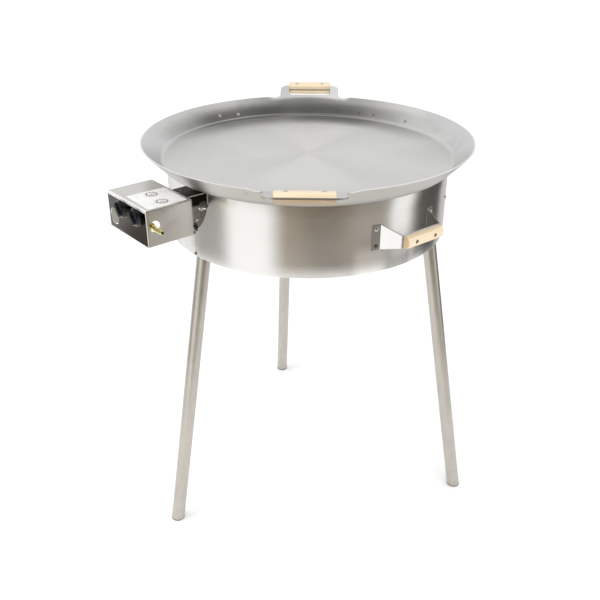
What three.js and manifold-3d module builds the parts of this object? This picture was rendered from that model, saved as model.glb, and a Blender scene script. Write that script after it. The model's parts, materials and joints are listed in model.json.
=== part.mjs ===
// Round griddle pan on a gas burner drum with three splayed legs.
// Units are millimetres, +Z is up, the floor is z = 0. The drum axis is the
// local origin; the control box points to -Y and the carrying handles to +X / -X.
import * as THREE from 'three';
import { mergeVertices } from 'three/addons/utils/BufferGeometryUtils.js';
import Module from 'manifold-3d';

const wasm = await Module();
wasm.setup();

// ---------------------------------------------------------------- dimensions
const GAP = 0.3;                 // clearance between pieces that touch

const DRUM_R = 308;              // outside radius of the burner drum
const DRUM_T = 2;                // sheet thickness of the drum
const DRUM_Z0 = 670;             // lower edge of the drum
const DRUM_Z1 = 822;             // upper edge of the drum, where the pan rests
const DRUM_HEM = 5;              // folded-in hem at the upper edge

const PAN_T = 3.2;               // pan sheet
const PAN_FLOOR_R = 318;         // inner radius of the flat floor
const PAN_RIM_R = 360;           // outer radius of the rim
const PAN_RIM_Z = 866;           // height of the rim
const PAN_BOTTOM = DRUM_Z1 + GAP;

const EAR_AZ = [318.75, 138.75]; // azimuths of the two pan ears
const EAR_SLOPE = 0.21;          // rise per millimetre outwards
const EAR_END = 420;             // outer end of an ear
const EAR_HALF = 75.5;           // half width of an ear
const EAR_FLARE = 89;            // half width where it runs into the rim
const GRIP_R = 408;              // centre of a pan grip
const GRIP_W = 26;
const GRIP_L = 108;
const GRIP_H = 9.5;              // thickness of one wooden half

const HANDLE_TURN = -1.2;        // degrees, both drum handles
const HANDLE_Z = 746;
const HANDLE_BAR_X = 349;        // middle of the strip behind the wood
const HANDLE_BAR_HALF = 50.5;
const HANDLE_FOOT_HALF = 66;
const HANDLE_FLANGE = 18;
const HANDLE_T = 3;
const HANDLE_H0 = 52;            // strip height at the drum
const HANDLE_H1 = 27;            // strip height at the wood

const LEG_R = 15;
const LEG_T = 1.5;
const LEG_AZ = [270, 30, 150];
const LEG_TOP_R = 282;           // axis radius at the lower edge of the drum
const LEG_FOOT_R = 402;          // axis radius on the floor
const LEG_INSIDE = 50;           // length of tube above the drum's lower edge
const FOOT_T = 3;                // collar of the foot plug under the tube
const FOOT_PLUG = 24;            // length of the plug along the leg

const RING_Z = 748;              // burner rings
const RING_R = [100, 200];
const RING_TUBE = 12;
const RING_WALL = 2;

const BOX_X0 = -77;              // sides of the control box
const BOX_X1 = 71;
const BOX_Y0 = -447.5;           // front face
const BOX_Y1 = -347;             // rear face
const BOX_Z0 = 749.5;
const BOX_Z1 = DRUM_Z1;
const BOX_T = 1.5;
const KNOB_X = [-12, 42];
const KNOB_Z = 803.5;
const KNOB_R = 17.5;
const KNOB_BACK = BOX_Y0 - 4.5;
const KNOB_LEN = 12.5;
const KNOB_LEAN = -42;           // the bar grips stand across, upper left to lower right
const KNOB_TRAVEL = 4;

const RAIL_Y = -435.5;           // gas rail
const RAIL_Z = 788;
const RAIL_R = 6;
const BARB_END = 106;

const CHAN_X0 = 0;               // sides of the bridge between box and drum
const CHAN_X1 = 58;

const THUMB_Y = -338;            // thumb screw in the side of the bridge
const THUMB_Z = 760;

const ORIGIN_Y = 52.25;          // brings the middle of the outline to y = 0

// ------------------------------------------------------------------ materials
const mat = (color, roughness, metalness) =>
  new THREE.MeshStandardMaterial({ color, roughness, metalness });
const M = {
  pan: mat(0xc4c3c1, 0.42, 0.9),
  drum: mat(0xb9b6b1, 0.32, 1.0),
  leg: mat(0xbdb9b0, 0.45, 0.85),
  box: mat(0xb4aea6, 0.25, 1.0),
  bright: mat(0xd6d3cc, 0.25, 1.0),
  wood: mat(0xdfc08f, 0.6, 0.0),
  brass: mat(0xc2a24a, 0.25, 1.0),
  black: mat(0x151517, 0.22, 0.0),
  dark: mat(0x4b4a48, 0.5, 0.8),
  cap: mat(0x6a655e, 0.6, 0.3),
};

// -------------------------------------------------------------------- helpers
const rad = (d) => (d * Math.PI) / 180;

function solid(geometry) {
  let g = geometry.index ? geometry.toNonIndexed() : geometry.clone();
  g.deleteAttribute('normal');
  g.deleteAttribute('uv');
  g = mergeVertices(g, 1e-4);
  const p = g.attributes.position;
  const idx = g.index.array;
  const tri = [];
  let vol = 0;
  const a = new THREE.Vector3(), b = new THREE.Vector3(), c = new THREE.Vector3();
  for (let i = 0; i < idx.length; i += 3) {
    const [i0, i1, i2] = [idx[i], idx[i + 1], idx[i + 2]];
    if (i0 === i1 || i1 === i2 || i2 === i0) continue;
    a.fromBufferAttribute(p, i0); b.fromBufferAttribute(p, i1); c.fromBufferAttribute(p, i2);
    vol += a.dot(b.clone().cross(c)) / 6;
    tri.push(i0, i1, i2);
  }
  if (vol < 0) for (let i = 0; i < tri.length; i += 3) [tri[i + 1], tri[i + 2]] = [tri[i + 2], tri[i + 1]];
  return new wasm.Manifold(new wasm.Mesh({
    numProp: 3,
    vertProperties: new Float32Array(p.array),
    triVerts: new Uint32Array(tri),
  }));
}

function meshOf(name, body, material) {
  const m = body.getMesh();
  const g = new THREE.BufferGeometry();
  g.setAttribute('position', new THREE.BufferAttribute(new Float32Array(m.vertProperties), 3));
  g.setIndex(new THREE.BufferAttribute(new Uint32Array(m.triVerts), 1));
  g.computeVertexNormals();
  const mesh = new THREE.Mesh(g, material);
  mesh.name = name;
  return mesh;
}

const union = (...list) => list.reduce((s, t) => s.add(t));
const cut = (base, ...list) => list.reduce((s, t) => s.subtract(t), base);

function box(x0, x1, y0, y1, z0, z1) {
  const g = new THREE.BoxGeometry(x1 - x0, y1 - y0, z1 - z0);
  g.translate((x0 + x1) / 2, (y0 + y1) / 2, (z0 + z1) / 2);
  return solid(g);
}

// Cylinder from point a to point b.
function rod(a, b, r, seg = 16, r2 = r) {
  const A = new THREE.Vector3(...a), B = new THREE.Vector3(...b);
  const d = B.clone().sub(A);
  const g = new THREE.CylinderGeometry(r2, r, d.length(), seg);
  g.applyQuaternion(new THREE.Quaternion().setFromUnitVectors(new THREE.Vector3(0, 1, 0), d.clone().normalize()));
  const m = A.clone().add(B).multiplyScalar(0.5);
  g.translate(m.x, m.y, m.z);
  return solid(g);
}

// Turned piece about +Z from a closed list of [r, z].
function turned(profile, seg) {
  const pts = profile.map(([r, z]) => new THREE.Vector2(r, z));
  if (!pts[0].equals(pts[pts.length - 1])) pts.push(pts[0].clone());
  const g = new THREE.LatheGeometry(pts, seg);
  g.rotateX(Math.PI / 2);
  return solid(g);
}

// Turned piece about an axis from point a towards b; profile as [r, distance from a].
function turnedAlong(profile, seg, a, b) {
  const pts = profile.map(([r, h]) => new THREE.Vector2(r, h));
  const g = new THREE.LatheGeometry(pts, seg);
  const A = new THREE.Vector3(...a);
  const d = new THREE.Vector3(...b).sub(A).normalize();
  g.applyQuaternion(new THREE.Quaternion().setFromUnitVectors(new THREE.Vector3(0, 1, 0), d));
  g.translate(A.x, A.y, A.z);
  return solid(g);
}

function shapeOf(points) {
  const s = new THREE.Shape();
  points.forEach(([x, y], i) => (i ? s.lineTo(x, y) : s.moveTo(x, y)));
  s.closePath();
  return s;
}

// Outline in XY raised from z0 to z1.
function plate(points, z0, z1, holes = []) {
  const s = shapeOf(points);
  holes.forEach((h) => s.holes.push(new THREE.Path(h.map(([x, y]) => new THREE.Vector2(x, y)))));
  const g = new THREE.ExtrudeGeometry(s, { depth: z1 - z0, bevelEnabled: false, curveSegments: 1 });
  g.translate(0, 0, z0);
  return solid(g);
}

// Outline in (y, z) raised along X from x0 to x1.
function plateX(points, x0, x1) {
  const g = new THREE.ExtrudeGeometry(shapeOf(points), { depth: x1 - x0, bevelEnabled: false });
  g.applyMatrix4(new THREE.Matrix4().set(0, 0, 1, x0, 1, 0, 0, 0, 0, 1, 0, 0, 0, 0, 0, 1));
  return solid(g);
}

// Outline in (x, z) raised along Y from y0 to y1.
function plateY(points, y0, y1) {
  const g = new THREE.ExtrudeGeometry(shapeOf(points), { depth: y1 - y0, bevelEnabled: false });
  g.applyMatrix4(new THREE.Matrix4().set(1, 0, 0, 0, 0, 0, 1, y0, 0, 1, 0, 0, 0, 0, 0, 1));
  return solid(g);
}

function circle(r, n, x = 0, y = 0, start = 0) {
  return Array.from({ length: n }, (_, i) => {
    const t = start + (i / n) * Math.PI * 2;
    return [x + r * Math.cos(t), y + r * Math.sin(t)];
  });
}

// Rounded corner points around (cx, cy) from angle a0 to a1 (degrees).
function arc(cx, cy, r, a0, a1, n) {
  return Array.from({ length: n + 1 }, (_, i) => {
    const t = rad(a0 + ((a1 - a0) * i) / n);
    return [cx + r * Math.cos(t), cy + r * Math.sin(t)];
  });
}

// Tube or bar of a flat section along a smooth path.
function along(points, outer, inner, steps, seg = 10) {
  const s = shapeOf(circle(outer, seg));
  if (inner) s.holes.push(new THREE.Path(circle(inner, seg).map(([x, y]) => new THREE.Vector2(x, y))));
  const path = new THREE.CatmullRomCurve3(points.map((p) => new THREE.Vector3(...p)), false, 'centripetal');
  const g = new THREE.ExtrudeGeometry(s, { steps, extrudePath: path, bevelEnabled: false, curveSegments: 1 });
  return solid(g);
}

// Strip of constant thickness following a polyline in XY, from z0 to z1.
function strip(points, thick, z0, z1) {
  const h = thick / 2;
  const left = [], right = [];
  points.forEach(([x, y], i) => {
    const prev = points[Math.max(i - 1, 0)], next = points[Math.min(i + 1, points.length - 1)];
    const d1 = new THREE.Vector2(x - prev[0], y - prev[1]).normalize();
    const d2 = new THREE.Vector2(next[0] - x, next[1] - y).normalize();
    if (i === 0) d1.copy(d2);
    if (i === points.length - 1) d2.copy(d1);
    const n = new THREE.Vector2(-(d1.y + d2.y), d1.x + d2.x).normalize();
    const k = h / Math.max(0.3, n.dot(new THREE.Vector2(-d1.y, d1.x)));
    left.push([x + n.x * k, y + n.y * k]);
    right.unshift([x - n.x * k, y - n.y * k]);
  });
  return plate([...left, ...right], z0, z1);
}

const group = new THREE.Group();
const add = (parent, name, body, material) => {
  const m = meshOf(name, body, material);
  parent.add(m);
  return m;
};

// ------------------------------------------------------------------------ pan
const pan = new THREE.Group();
pan.name = 'pan';
group.add(pan);
{
  const zb = PAN_BOTTOM, zf = PAN_BOTTOM + PAN_T;
  const profile = [
    [0, zb], [PAN_FLOOR_R - 3, zb], [PAN_FLOOR_R + 3.2, zb + 2.2],
    [PAN_RIM_R, PAN_RIM_Z - 1.6], [PAN_RIM_R - 1, PAN_RIM_Z], [PAN_RIM_R - 3.2, PAN_RIM_Z],
    [PAN_FLOOR_R + 0.8, zf + 1.6], [PAN_FLOOR_R - 3, zf], [0, zf],
  ];
  const pts = profile.map(([r, z]) => new THREE.Vector2(r, z));
  const g = new THREE.LatheGeometry(pts, 72);
  g.rotateX(Math.PI / 2);
  let dish = solid(g);

  // One ear, drawn with u pointing outwards and v sideways.
  const base = 356.6;
  const th = Math.asin(EAR_FLARE / base);
  const outline = [];
  for (let i = 0; i <= 10; i++) {
    const t = th - (2 * th * i) / 10;
    outline.push([base * Math.cos(t), base * Math.sin(t)]);
  }
  const flare = 13;
  const lower = arc(360.5 + flare - 5, -EAR_HALF - flare, flare, 120, 90, 3);
  outline.push(...lower);
  outline.push(...arc(EAR_END - 22, -EAR_HALF + 22, 22, -90, 0, 6));
  outline.push(...arc(EAR_END - 22, EAR_HALF - 22, 22, 0, 90, 6));
  outline.push(...lower.map(([u, v]) => [u, -v]).reverse());
  const s0 = 364.5, s1 = EAR_END - 22.5, sh = 53.5, sr = 10;
  const slot = [
    ...arc(s0 + sr, -sh + sr, sr, 180, 270, 4), ...arc(s1 - sr, -sh + sr, sr, 270, 360, 4),
    ...arc(s1 - sr, sh - sr, sr, 0, 90, 4), ...arc(s0 + sr, sh - sr, sr, 90, 180, 4),
  ];
  const shear = new THREE.Matrix4().set(1, 0, 0, 0, 0, 1, 0, 0, EAR_SLOPE, 0, 1, -EAR_SLOPE * 360, 0, 0, 0, 1);
  const raise = (pts2, z0, z1, holes) => {
    const s = shapeOf(pts2);
    (holes || []).forEach((h) => s.holes.push(new THREE.Path(h.map(([x, y]) => new THREE.Vector2(x, y)))));
    const e = new THREE.ExtrudeGeometry(s, { depth: z1 - z0, bevelEnabled: false, curveSegments: 1 });
    e.translate(0, 0, z0);
    e.applyMatrix4(shear);
    return e;
  };
  const topZ = PAN_RIM_Z;
  const rivetV = [-33, 33];
  const rivetHoles = rivetV.map((v) => circle(2.8, 10, GRIP_R, v));
  // Wooden half: rounded edges, drawn across (u, z) and raised along v.
  const half = (up) => {
    const c = 4.5, w = GRIP_W / 2;
    const z0 = up ? topZ + GAP : topZ - PAN_T - GAP - GRIP_H;
    const z1 = z0 + GRIP_H;
    const sec = up
      ? [[GRIP_R - w, z0], [GRIP_R + w, z0], [GRIP_R + w, z1 - c], [GRIP_R + w - 1.4, z1 - 1.4], [GRIP_R + w - c, z1],
        [GRIP_R - w + c, z1], [GRIP_R - w + 1.4, z1 - 1.4], [GRIP_R - w, z1 - c]]
      : [[GRIP_R - w, z1], [GRIP_R - w, z0 + c], [GRIP_R - w + 1.4, z0 + 1.4], [GRIP_R - w + c, z0],
        [GRIP_R + w - c, z0], [GRIP_R + w - 1.4, z0 + 1.4], [GRIP_R + w, z0 + c], [GRIP_R + w, z1]];
    const e = new THREE.ExtrudeGeometry(shapeOf(sec), { depth: GRIP_L, bevelEnabled: false });
    // (x, y, z) of the drawing -> (u, z, v)
    e.applyMatrix4(new THREE.Matrix4().set(1, 0, 0, 0, 0, 0, 1, -GRIP_L / 2, 0, 1, 0, 0, 0, 0, 0, 1));
    e.applyMatrix4(shear);
    return e;
  };
  const names = ['front', 'rear'];
  EAR_AZ.forEach((az, k) => {
    const turn = new THREE.Matrix4().makeRotationZ(rad(az));
    const ear = raise(outline, topZ - PAN_T, topZ, [slot, ...rivetHoles]);
    ear.applyMatrix4(turn);
    dish = dish.add(solid(ear));
    ['upper', 'lower'].forEach((side) => {
      const h = half(side === 'upper');
      h.applyMatrix4(turn);
      let w = solid(h);
      rivetV.forEach((v) => {
        const hole = raise(circle(2.8, 10, GRIP_R, v), topZ - 30, topZ + 30);
        hole.applyMatrix4(turn);
        w = w.subtract(solid(hole));
      });
      add(pan, `pan_grip_${names[k]}_${side}`, w, M.wood);
    });
    rivetV.forEach((v, i) => {
      const z0 = topZ - PAN_T - GAP - GRIP_H, z1 = topZ + GAP + GRIP_H;
      const a = 1.2, hr = 4.2;
      const prof = [[0, z0 - GAP - a], [hr - 0.8, z0 - GAP - a], [hr, z0 - GAP], [2.4, z0 - GAP], [2.4, z1 + GAP],
        [hr, z1 + GAP], [hr - 0.8, z1 + GAP + a], [0, z1 + GAP + a]];
      const r = new THREE.LatheGeometry(prof.map(([x, y]) => new THREE.Vector2(x, y)), 8);
      r.rotateX(Math.PI / 2);
      r.translate(GRIP_R, v, 0);
      r.applyMatrix4(shear);
      r.applyMatrix4(turn);
      add(pan, `pan_rivet_${names[k]}_${i ? 'b' : 'a'}`, solid(r), M.bright);
    });
  });
  add(pan, 'pan_dish', dish, M.pan);
}

// ----------------------------------------------------------------------- drum
const drumHoles = [];
const screwSpots = [];
const stand = new THREE.Group();
group.add(stand);

// Pan-head screw set from outside along the radius at azimuth az and height z.
function wallScrew(name, az, z, face, headR, headH, shank, end) {
  const c = Math.cos(rad(az)), s = Math.sin(rad(az));
  const at = (r) => [r * c, r * s, z];
  const L = face - end;
  const prof = [[0, 0], [shank, 0], [shank, L], [headR, L], [headR, L + headH * 0.4], [headR * 0.72, L + headH], [0, L + headH]];
  add(stand, name, turnedAlong(prof, 8, at(end), at(face + 10)), M.bright);
  drumHoles.push(rod(at(DRUM_R - 12), at(DRUM_R + 12), shank + GAP + 0.1, 8));
}

// Handles.
const handleGroups = [];
{
  const yf = HANDLE_FOOT_HALF, rm = DRUM_R + 0.55 + HANDLE_T / 2;
  const foot = (y) => [Math.sqrt(rm * rm - y * y), y];
  const pts = [foot(yf + HANDLE_FLANGE), foot(yf), [HANDLE_BAR_X, HANDLE_BAR_HALF], [HANDLE_BAR_X, -HANDLE_BAR_HALF], foot(-yf), foot(-yf - HANDLE_FLANGE)];
  const z0 = HANDLE_Z - HANDLE_H0 / 2, z1 = HANDLE_Z + HANDLE_H0 / 2;
  const h1 = HANDLE_H1 / 2;
  ['right', 'left'].forEach((side, k) => {
    const turnDeg = HANDLE_TURN + 180 * k;
    const turn = new THREE.Matrix4().makeRotationZ(rad(turnDeg));
    const place = (g) => { g.applyMatrix4(turn); return solid(g); };
    // strip, tapered towards the wood
    let br = strip(pts, HANDLE_T, z0, z1);
    const side1 = [[290, z0 - 1], [313, z0 - 1], [HANDLE_BAR_X - 2, HANDLE_Z - h1], [370, HANDLE_Z - h1], [370, HANDLE_Z + h1], [HANDLE_BAR_X - 2, HANDLE_Z + h1], [313, z1 + 1], [290, z1 + 1]];
    br = br.intersect(plateY(side1, -100, 100));
    const m4 = turn.elements;
    const aff = [m4[0], m4[1], m4[2], m4[3], m4[4], m4[5], m4[6], m4[7], m4[8], m4[9], m4[10], m4[11], m4[12], m4[13], m4[14], m4[15]];
    // holes for the wood screws
    const yv = [-27, 24];
    yv.forEach((y) => { br = br.subtract(rod([HANDLE_BAR_X - 6, y, HANDLE_Z], [HANDLE_BAR_X + 6, y, HANDLE_Z], 2.3, 10)); });
    br = br.transform(aff);
    // flange holes
    const fa = (Math.asin((yf + 9.5) / rm) * 180) / Math.PI;
    [1, -1].forEach((sg) => {
      [HANDLE_Z - 18, HANDLE_Z + 18].forEach((z, j) => {
        const az = turnDeg + sg * fa;
        const c = Math.cos(rad(az)), s = Math.sin(rad(az));
        br = br.subtract(rod([295 * c, 295 * s, z], [325 * c, 325 * s, z], 2.5, 12));
        wallScrew(`bracket_screw_${side}_${sg > 0 ? 'b' : 'a'}${j + 1}`, az, z, rm + HANDLE_T / 2 + 0.4, 4.6, 2.6, 2.1, DRUM_R - 6);
      });
    });
    add(stand, `handle_bracket_${side}`, br, M.bright);
    // wood: half round, in front of the strip
    const x0 = HANDLE_BAR_X + HANDLE_T / 2 + GAP, xd = 14.2, hh = 13.2;
    const sec = [[x0, -hh]];
    for (let i = 0; i <= 8; i++) {
      const t = -90 + (180 * i) / 8;
      sec.push([x0 + 3 + (xd - 3) * Math.cos(rad(t)), hh * Math.sin(rad(t))]);
    }
    sec.push([x0, hh]);
    const e = new THREE.ExtrudeGeometry(shapeOf(sec), { depth: 97, bevelEnabled: false });
    e.applyMatrix4(new THREE.Matrix4().set(1, 0, 0, 0, 0, 0, 1, -48.5, 0, 1, 0, HANDLE_Z, 0, 0, 0, 1));
    let wood = solid(e);
    yv.forEach((y) => {
      wood = wood.subtract(rod([x0 - 2, y, HANDLE_Z], [x0 + 30, y, HANDLE_Z], 2.3, 10));
      wood = wood.subtract(rod([x0 + 10.5, y, HANDLE_Z], [x0 + 30, y, HANDLE_Z], 4.2, 12));
    });
    add(stand, `handle_grip_${side}`, wood.transform(aff), M.wood);
    yv.forEach((y, i) => {
      const a = HANDLE_BAR_X - HANDLE_T / 2 - 2.5, L = x0 + 10.8 - a;
      const prof = [[0, 0], [1.9, 0], [1.9, L], [3.8, L], [3.0, L + 1.8], [0, L + 1.8]];
      add(stand, `grip_screw_${side}_${i ? 'b' : 'a'}`, turnedAlong(prof, 8, [a, y, HANDLE_Z], [a + 10, y, HANDLE_Z]).transform(aff), M.dark);
    });
  });
}

// Seam rivets at the front of the drum.
[771, 722, 675].forEach((z, i) => wallScrew(`seam_rivet_${i + 1}`, 271.4, z, DRUM_R + GAP, 3.4, 1.6, 1.9, DRUM_R - DRUM_T - 0.2));

// ----------------------------------------------------------------------- legs
LEG_AZ.forEach((az, k) => {
  const n = ['front', 'right', 'left'][k];
  const c = Math.cos(rad(az)), s = Math.sin(rad(az));
  const slope = (LEG_FOOT_R - LEG_TOP_R) / DRUM_Z0;       // outward per mm down
  const at = (z, dr = 0) => { const r = LEG_FOOT_R - slope * z + dr; return [r * c, r * s, z]; };
  const A = new THREE.Vector3(...at(0)), B = new THREE.Vector3(...at(100));
  const dir = B.clone().sub(A).normalize();
  const up = (z, t) => { const p = new THREE.Vector3(...at(z)).addScaledVector(dir, t); return [p.x, p.y, p.z]; };
  // tube: open ring section, cut level just above the floor
  const below = 30, len = (DRUM_Z0 + LEG_INSIDE + below) / dir.z;
  const ring = [[LEG_R - LEG_T, 0], [LEG_R, 0], [LEG_R, len], [LEG_R - LEG_T, len], [LEG_R - LEG_T, 0]];
  const slab = (z0, z1) => box(-700, 700, -700, 700, z0, z1);
  add(stand, `leg_tube_${n}`, turnedAlong(ring, 20, at(-below), at(-below + 100)).subtract(slab(-60, FOOT_T + GAP)), M.leg);
  // foot: plug inside the tube with a thin collar that stands on the floor
  const collar = turnedAlong([[0, -below], [LEG_R + 0.3, -below], [LEG_R + 0.3, below], [0, below]], 20, at(0), at(100)).intersect(slab(0, FOOT_T));
  const rp = LEG_R - LEG_T - GAP;
  const plug = turnedAlong([[0, 0], [rp, 0], [rp, FOOT_PLUG], [rp - 2.5, FOOT_PLUG], [rp - 2.5, 8], [0, 8]], 20, at(0), at(100)).subtract(slab(-60, FOOT_T - 1));
  add(stand, `leg_foot_${n}`, collar.add(plug), M.cap);
  // socket inside the drum
  const z0 = DRUM_Z0 + 8, z1 = DRUM_Z0 + LEG_INSIDE + 12;
  const sl = (z1 - z0) / dir.z;
  const so = LEG_R + 3;
  let sock = turnedAlong([[0, 0], [so, 0], [so, sl], [0, sl]], 20, at(z0), at(z0 + 100));
  // web and flange towards the wall
  const web = new THREE.BoxGeometry(44, 5, 40);
  web.translate(DRUM_R - DRUM_T - 24, 0, DRUM_Z0 + 50);
  web.applyMatrix4(new THREE.Matrix4().makeRotationZ(rad(az)));
  const rf = DRUM_R - DRUM_T - 0.6;
  const flangeArc = [];
  for (let i = 0; i <= 4; i++) { const t = rad(az - 4.4 + (8.8 * i) / 4); flangeArc.push([rf * Math.cos(t), rf * Math.sin(t)]); }
  for (let i = 4; i >= 0; i--) { const t = rad(az - 4.4 + (8.8 * i) / 4); flangeArc.push([(rf - 3) * Math.cos(t), (rf - 3) * Math.sin(t)]); }
  const flange = plate(flangeArc, DRUM_Z0 + 36, DRUM_Z0 + 98);
  const inWall = turned([[0.01, 600], [rf - 1.5, 600], [rf - 1.5, 900], [0.01, 900], [0.01, 600]], 72);
  sock = union(sock.add(solid(web)).intersect(inWall), flange);
  sock = sock.subtract(turnedAlong([[0, -30], [LEG_R + GAP, -30], [LEG_R + GAP, sl - 4], [0, sl - 4]], 20, at(z0), at(z0 + 100)));
  const boltAz = az + (k === 0 ? 2.9 : 2.9);
  const bc = Math.cos(rad(boltAz)), bs = Math.sin(rad(boltAz)), bz = DRUM_Z0 + 88;
  sock = sock.subtract(rod([(rf - 8) * bc, (rf - 8) * bs, bz], [(rf + 8) * bc, (rf + 8) * bs, bz], 2.6, 12));
  // slope of the flange keeps clear of the tube; open the sleeve to a single bore
  add(stand, `leg_socket_${n}`, sock, M.dark);
  wallScrew(`leg_bolt_${n}`, boltAz, bz, DRUM_R + GAP, 4.0, 2.4, 2.2, DRUM_R - 9);
});

// --------------------------------------------------------------- burner rings
const ringBodies = RING_R.map((R) => {
  const prof = circle(RING_TUBE, 8, R, RING_Z, Math.PI / 8);
  const hole = circle(RING_TUBE - RING_WALL, 6, R, RING_Z, Math.PI / 6);
  return [turned(prof, R > 150 ? 36 : 28), turned(hole, R > 150 ? 30 : 24)];
});
const mixPaths = [
  [[KNOB_X[0], -402, KNOB_Z], [KNOB_X[0], -392, KNOB_Z], [1, -371, KNOB_Z], [13, -353, 802.5], [13.5, -338, 799.5], [14, -300, 790], [11, -270, 775], [3, -247, 752],
    [-6, -226, 728], [-12, -200, 721], [-12, -180, 720.5], [-12, -150, 728], [-12, -125, 742], [-10.8, -104, RING_Z]],
  [[KNOB_X[1], -402, KNOB_Z], [KNOB_X[1], -350, KNOB_Z], [KNOB_X[1], -300, 794], [KNOB_X[1], -262, 770], [KNOB_X[1] * 0.98, -235, 755], [KNOB_X[1] * 0.9, -203, RING_Z]],
];
RING_R.forEach((R, k) => {
  const n = ['inner', 'outer'][k];
  const mix = along(mixPaths[k], 10.5, 8.5, k ? 9 : 26, 8).subtract(turned(circle(RING_TUBE + GAP, 12, R, RING_Z), 48));
  // the piece left inside the ring tube is dropped, only the outer part stays
  const pieces = mix.decompose().sort((a, b) => b.volume() - a.volume());
  add(stand, `mixer_tube_${n}`, pieces[0], M.dark);
  const end = mixPaths[k][mixPaths[k].length - 1];
  const inlet = rod([end[0], end[1] - 16, RING_Z], [end[0], end[1], RING_Z], 7, 10);
  add(stand, `burner_ring_${n}`, cut(ringBodies[k][0], ringBodies[k][1], inlet), M.dark);
});
// carrier: two crossed flat bars with upturned ends against the drum wall
{
  const zt = RING_Z - RING_TUBE - GAP, t = 4, w = 11, r = DRUM_R - DRUM_T - 1.2;
  const bars = [45, 135].map((az) => {
    const g = new THREE.BoxGeometry(2 * (r - 1.2), 2 * w, t);
    g.translate(0, 0, zt - t / 2);
    const e1 = new THREE.BoxGeometry(3, 2 * w, 30);
    e1.translate(r - 2.2, 0, zt - t / 2 - 13);
    const e2 = e1.clone().rotateZ(Math.PI);
    const R = new THREE.Matrix4().makeRotationZ(rad(az));
    return [g, e1, e2].map((x) => { x.applyMatrix4(R); return solid(x); }).reduce((a, b) => a.add(b));
  });
  add(stand, 'burner_carrier', bars[0].add(bars[1]), M.dark);
}

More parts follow.
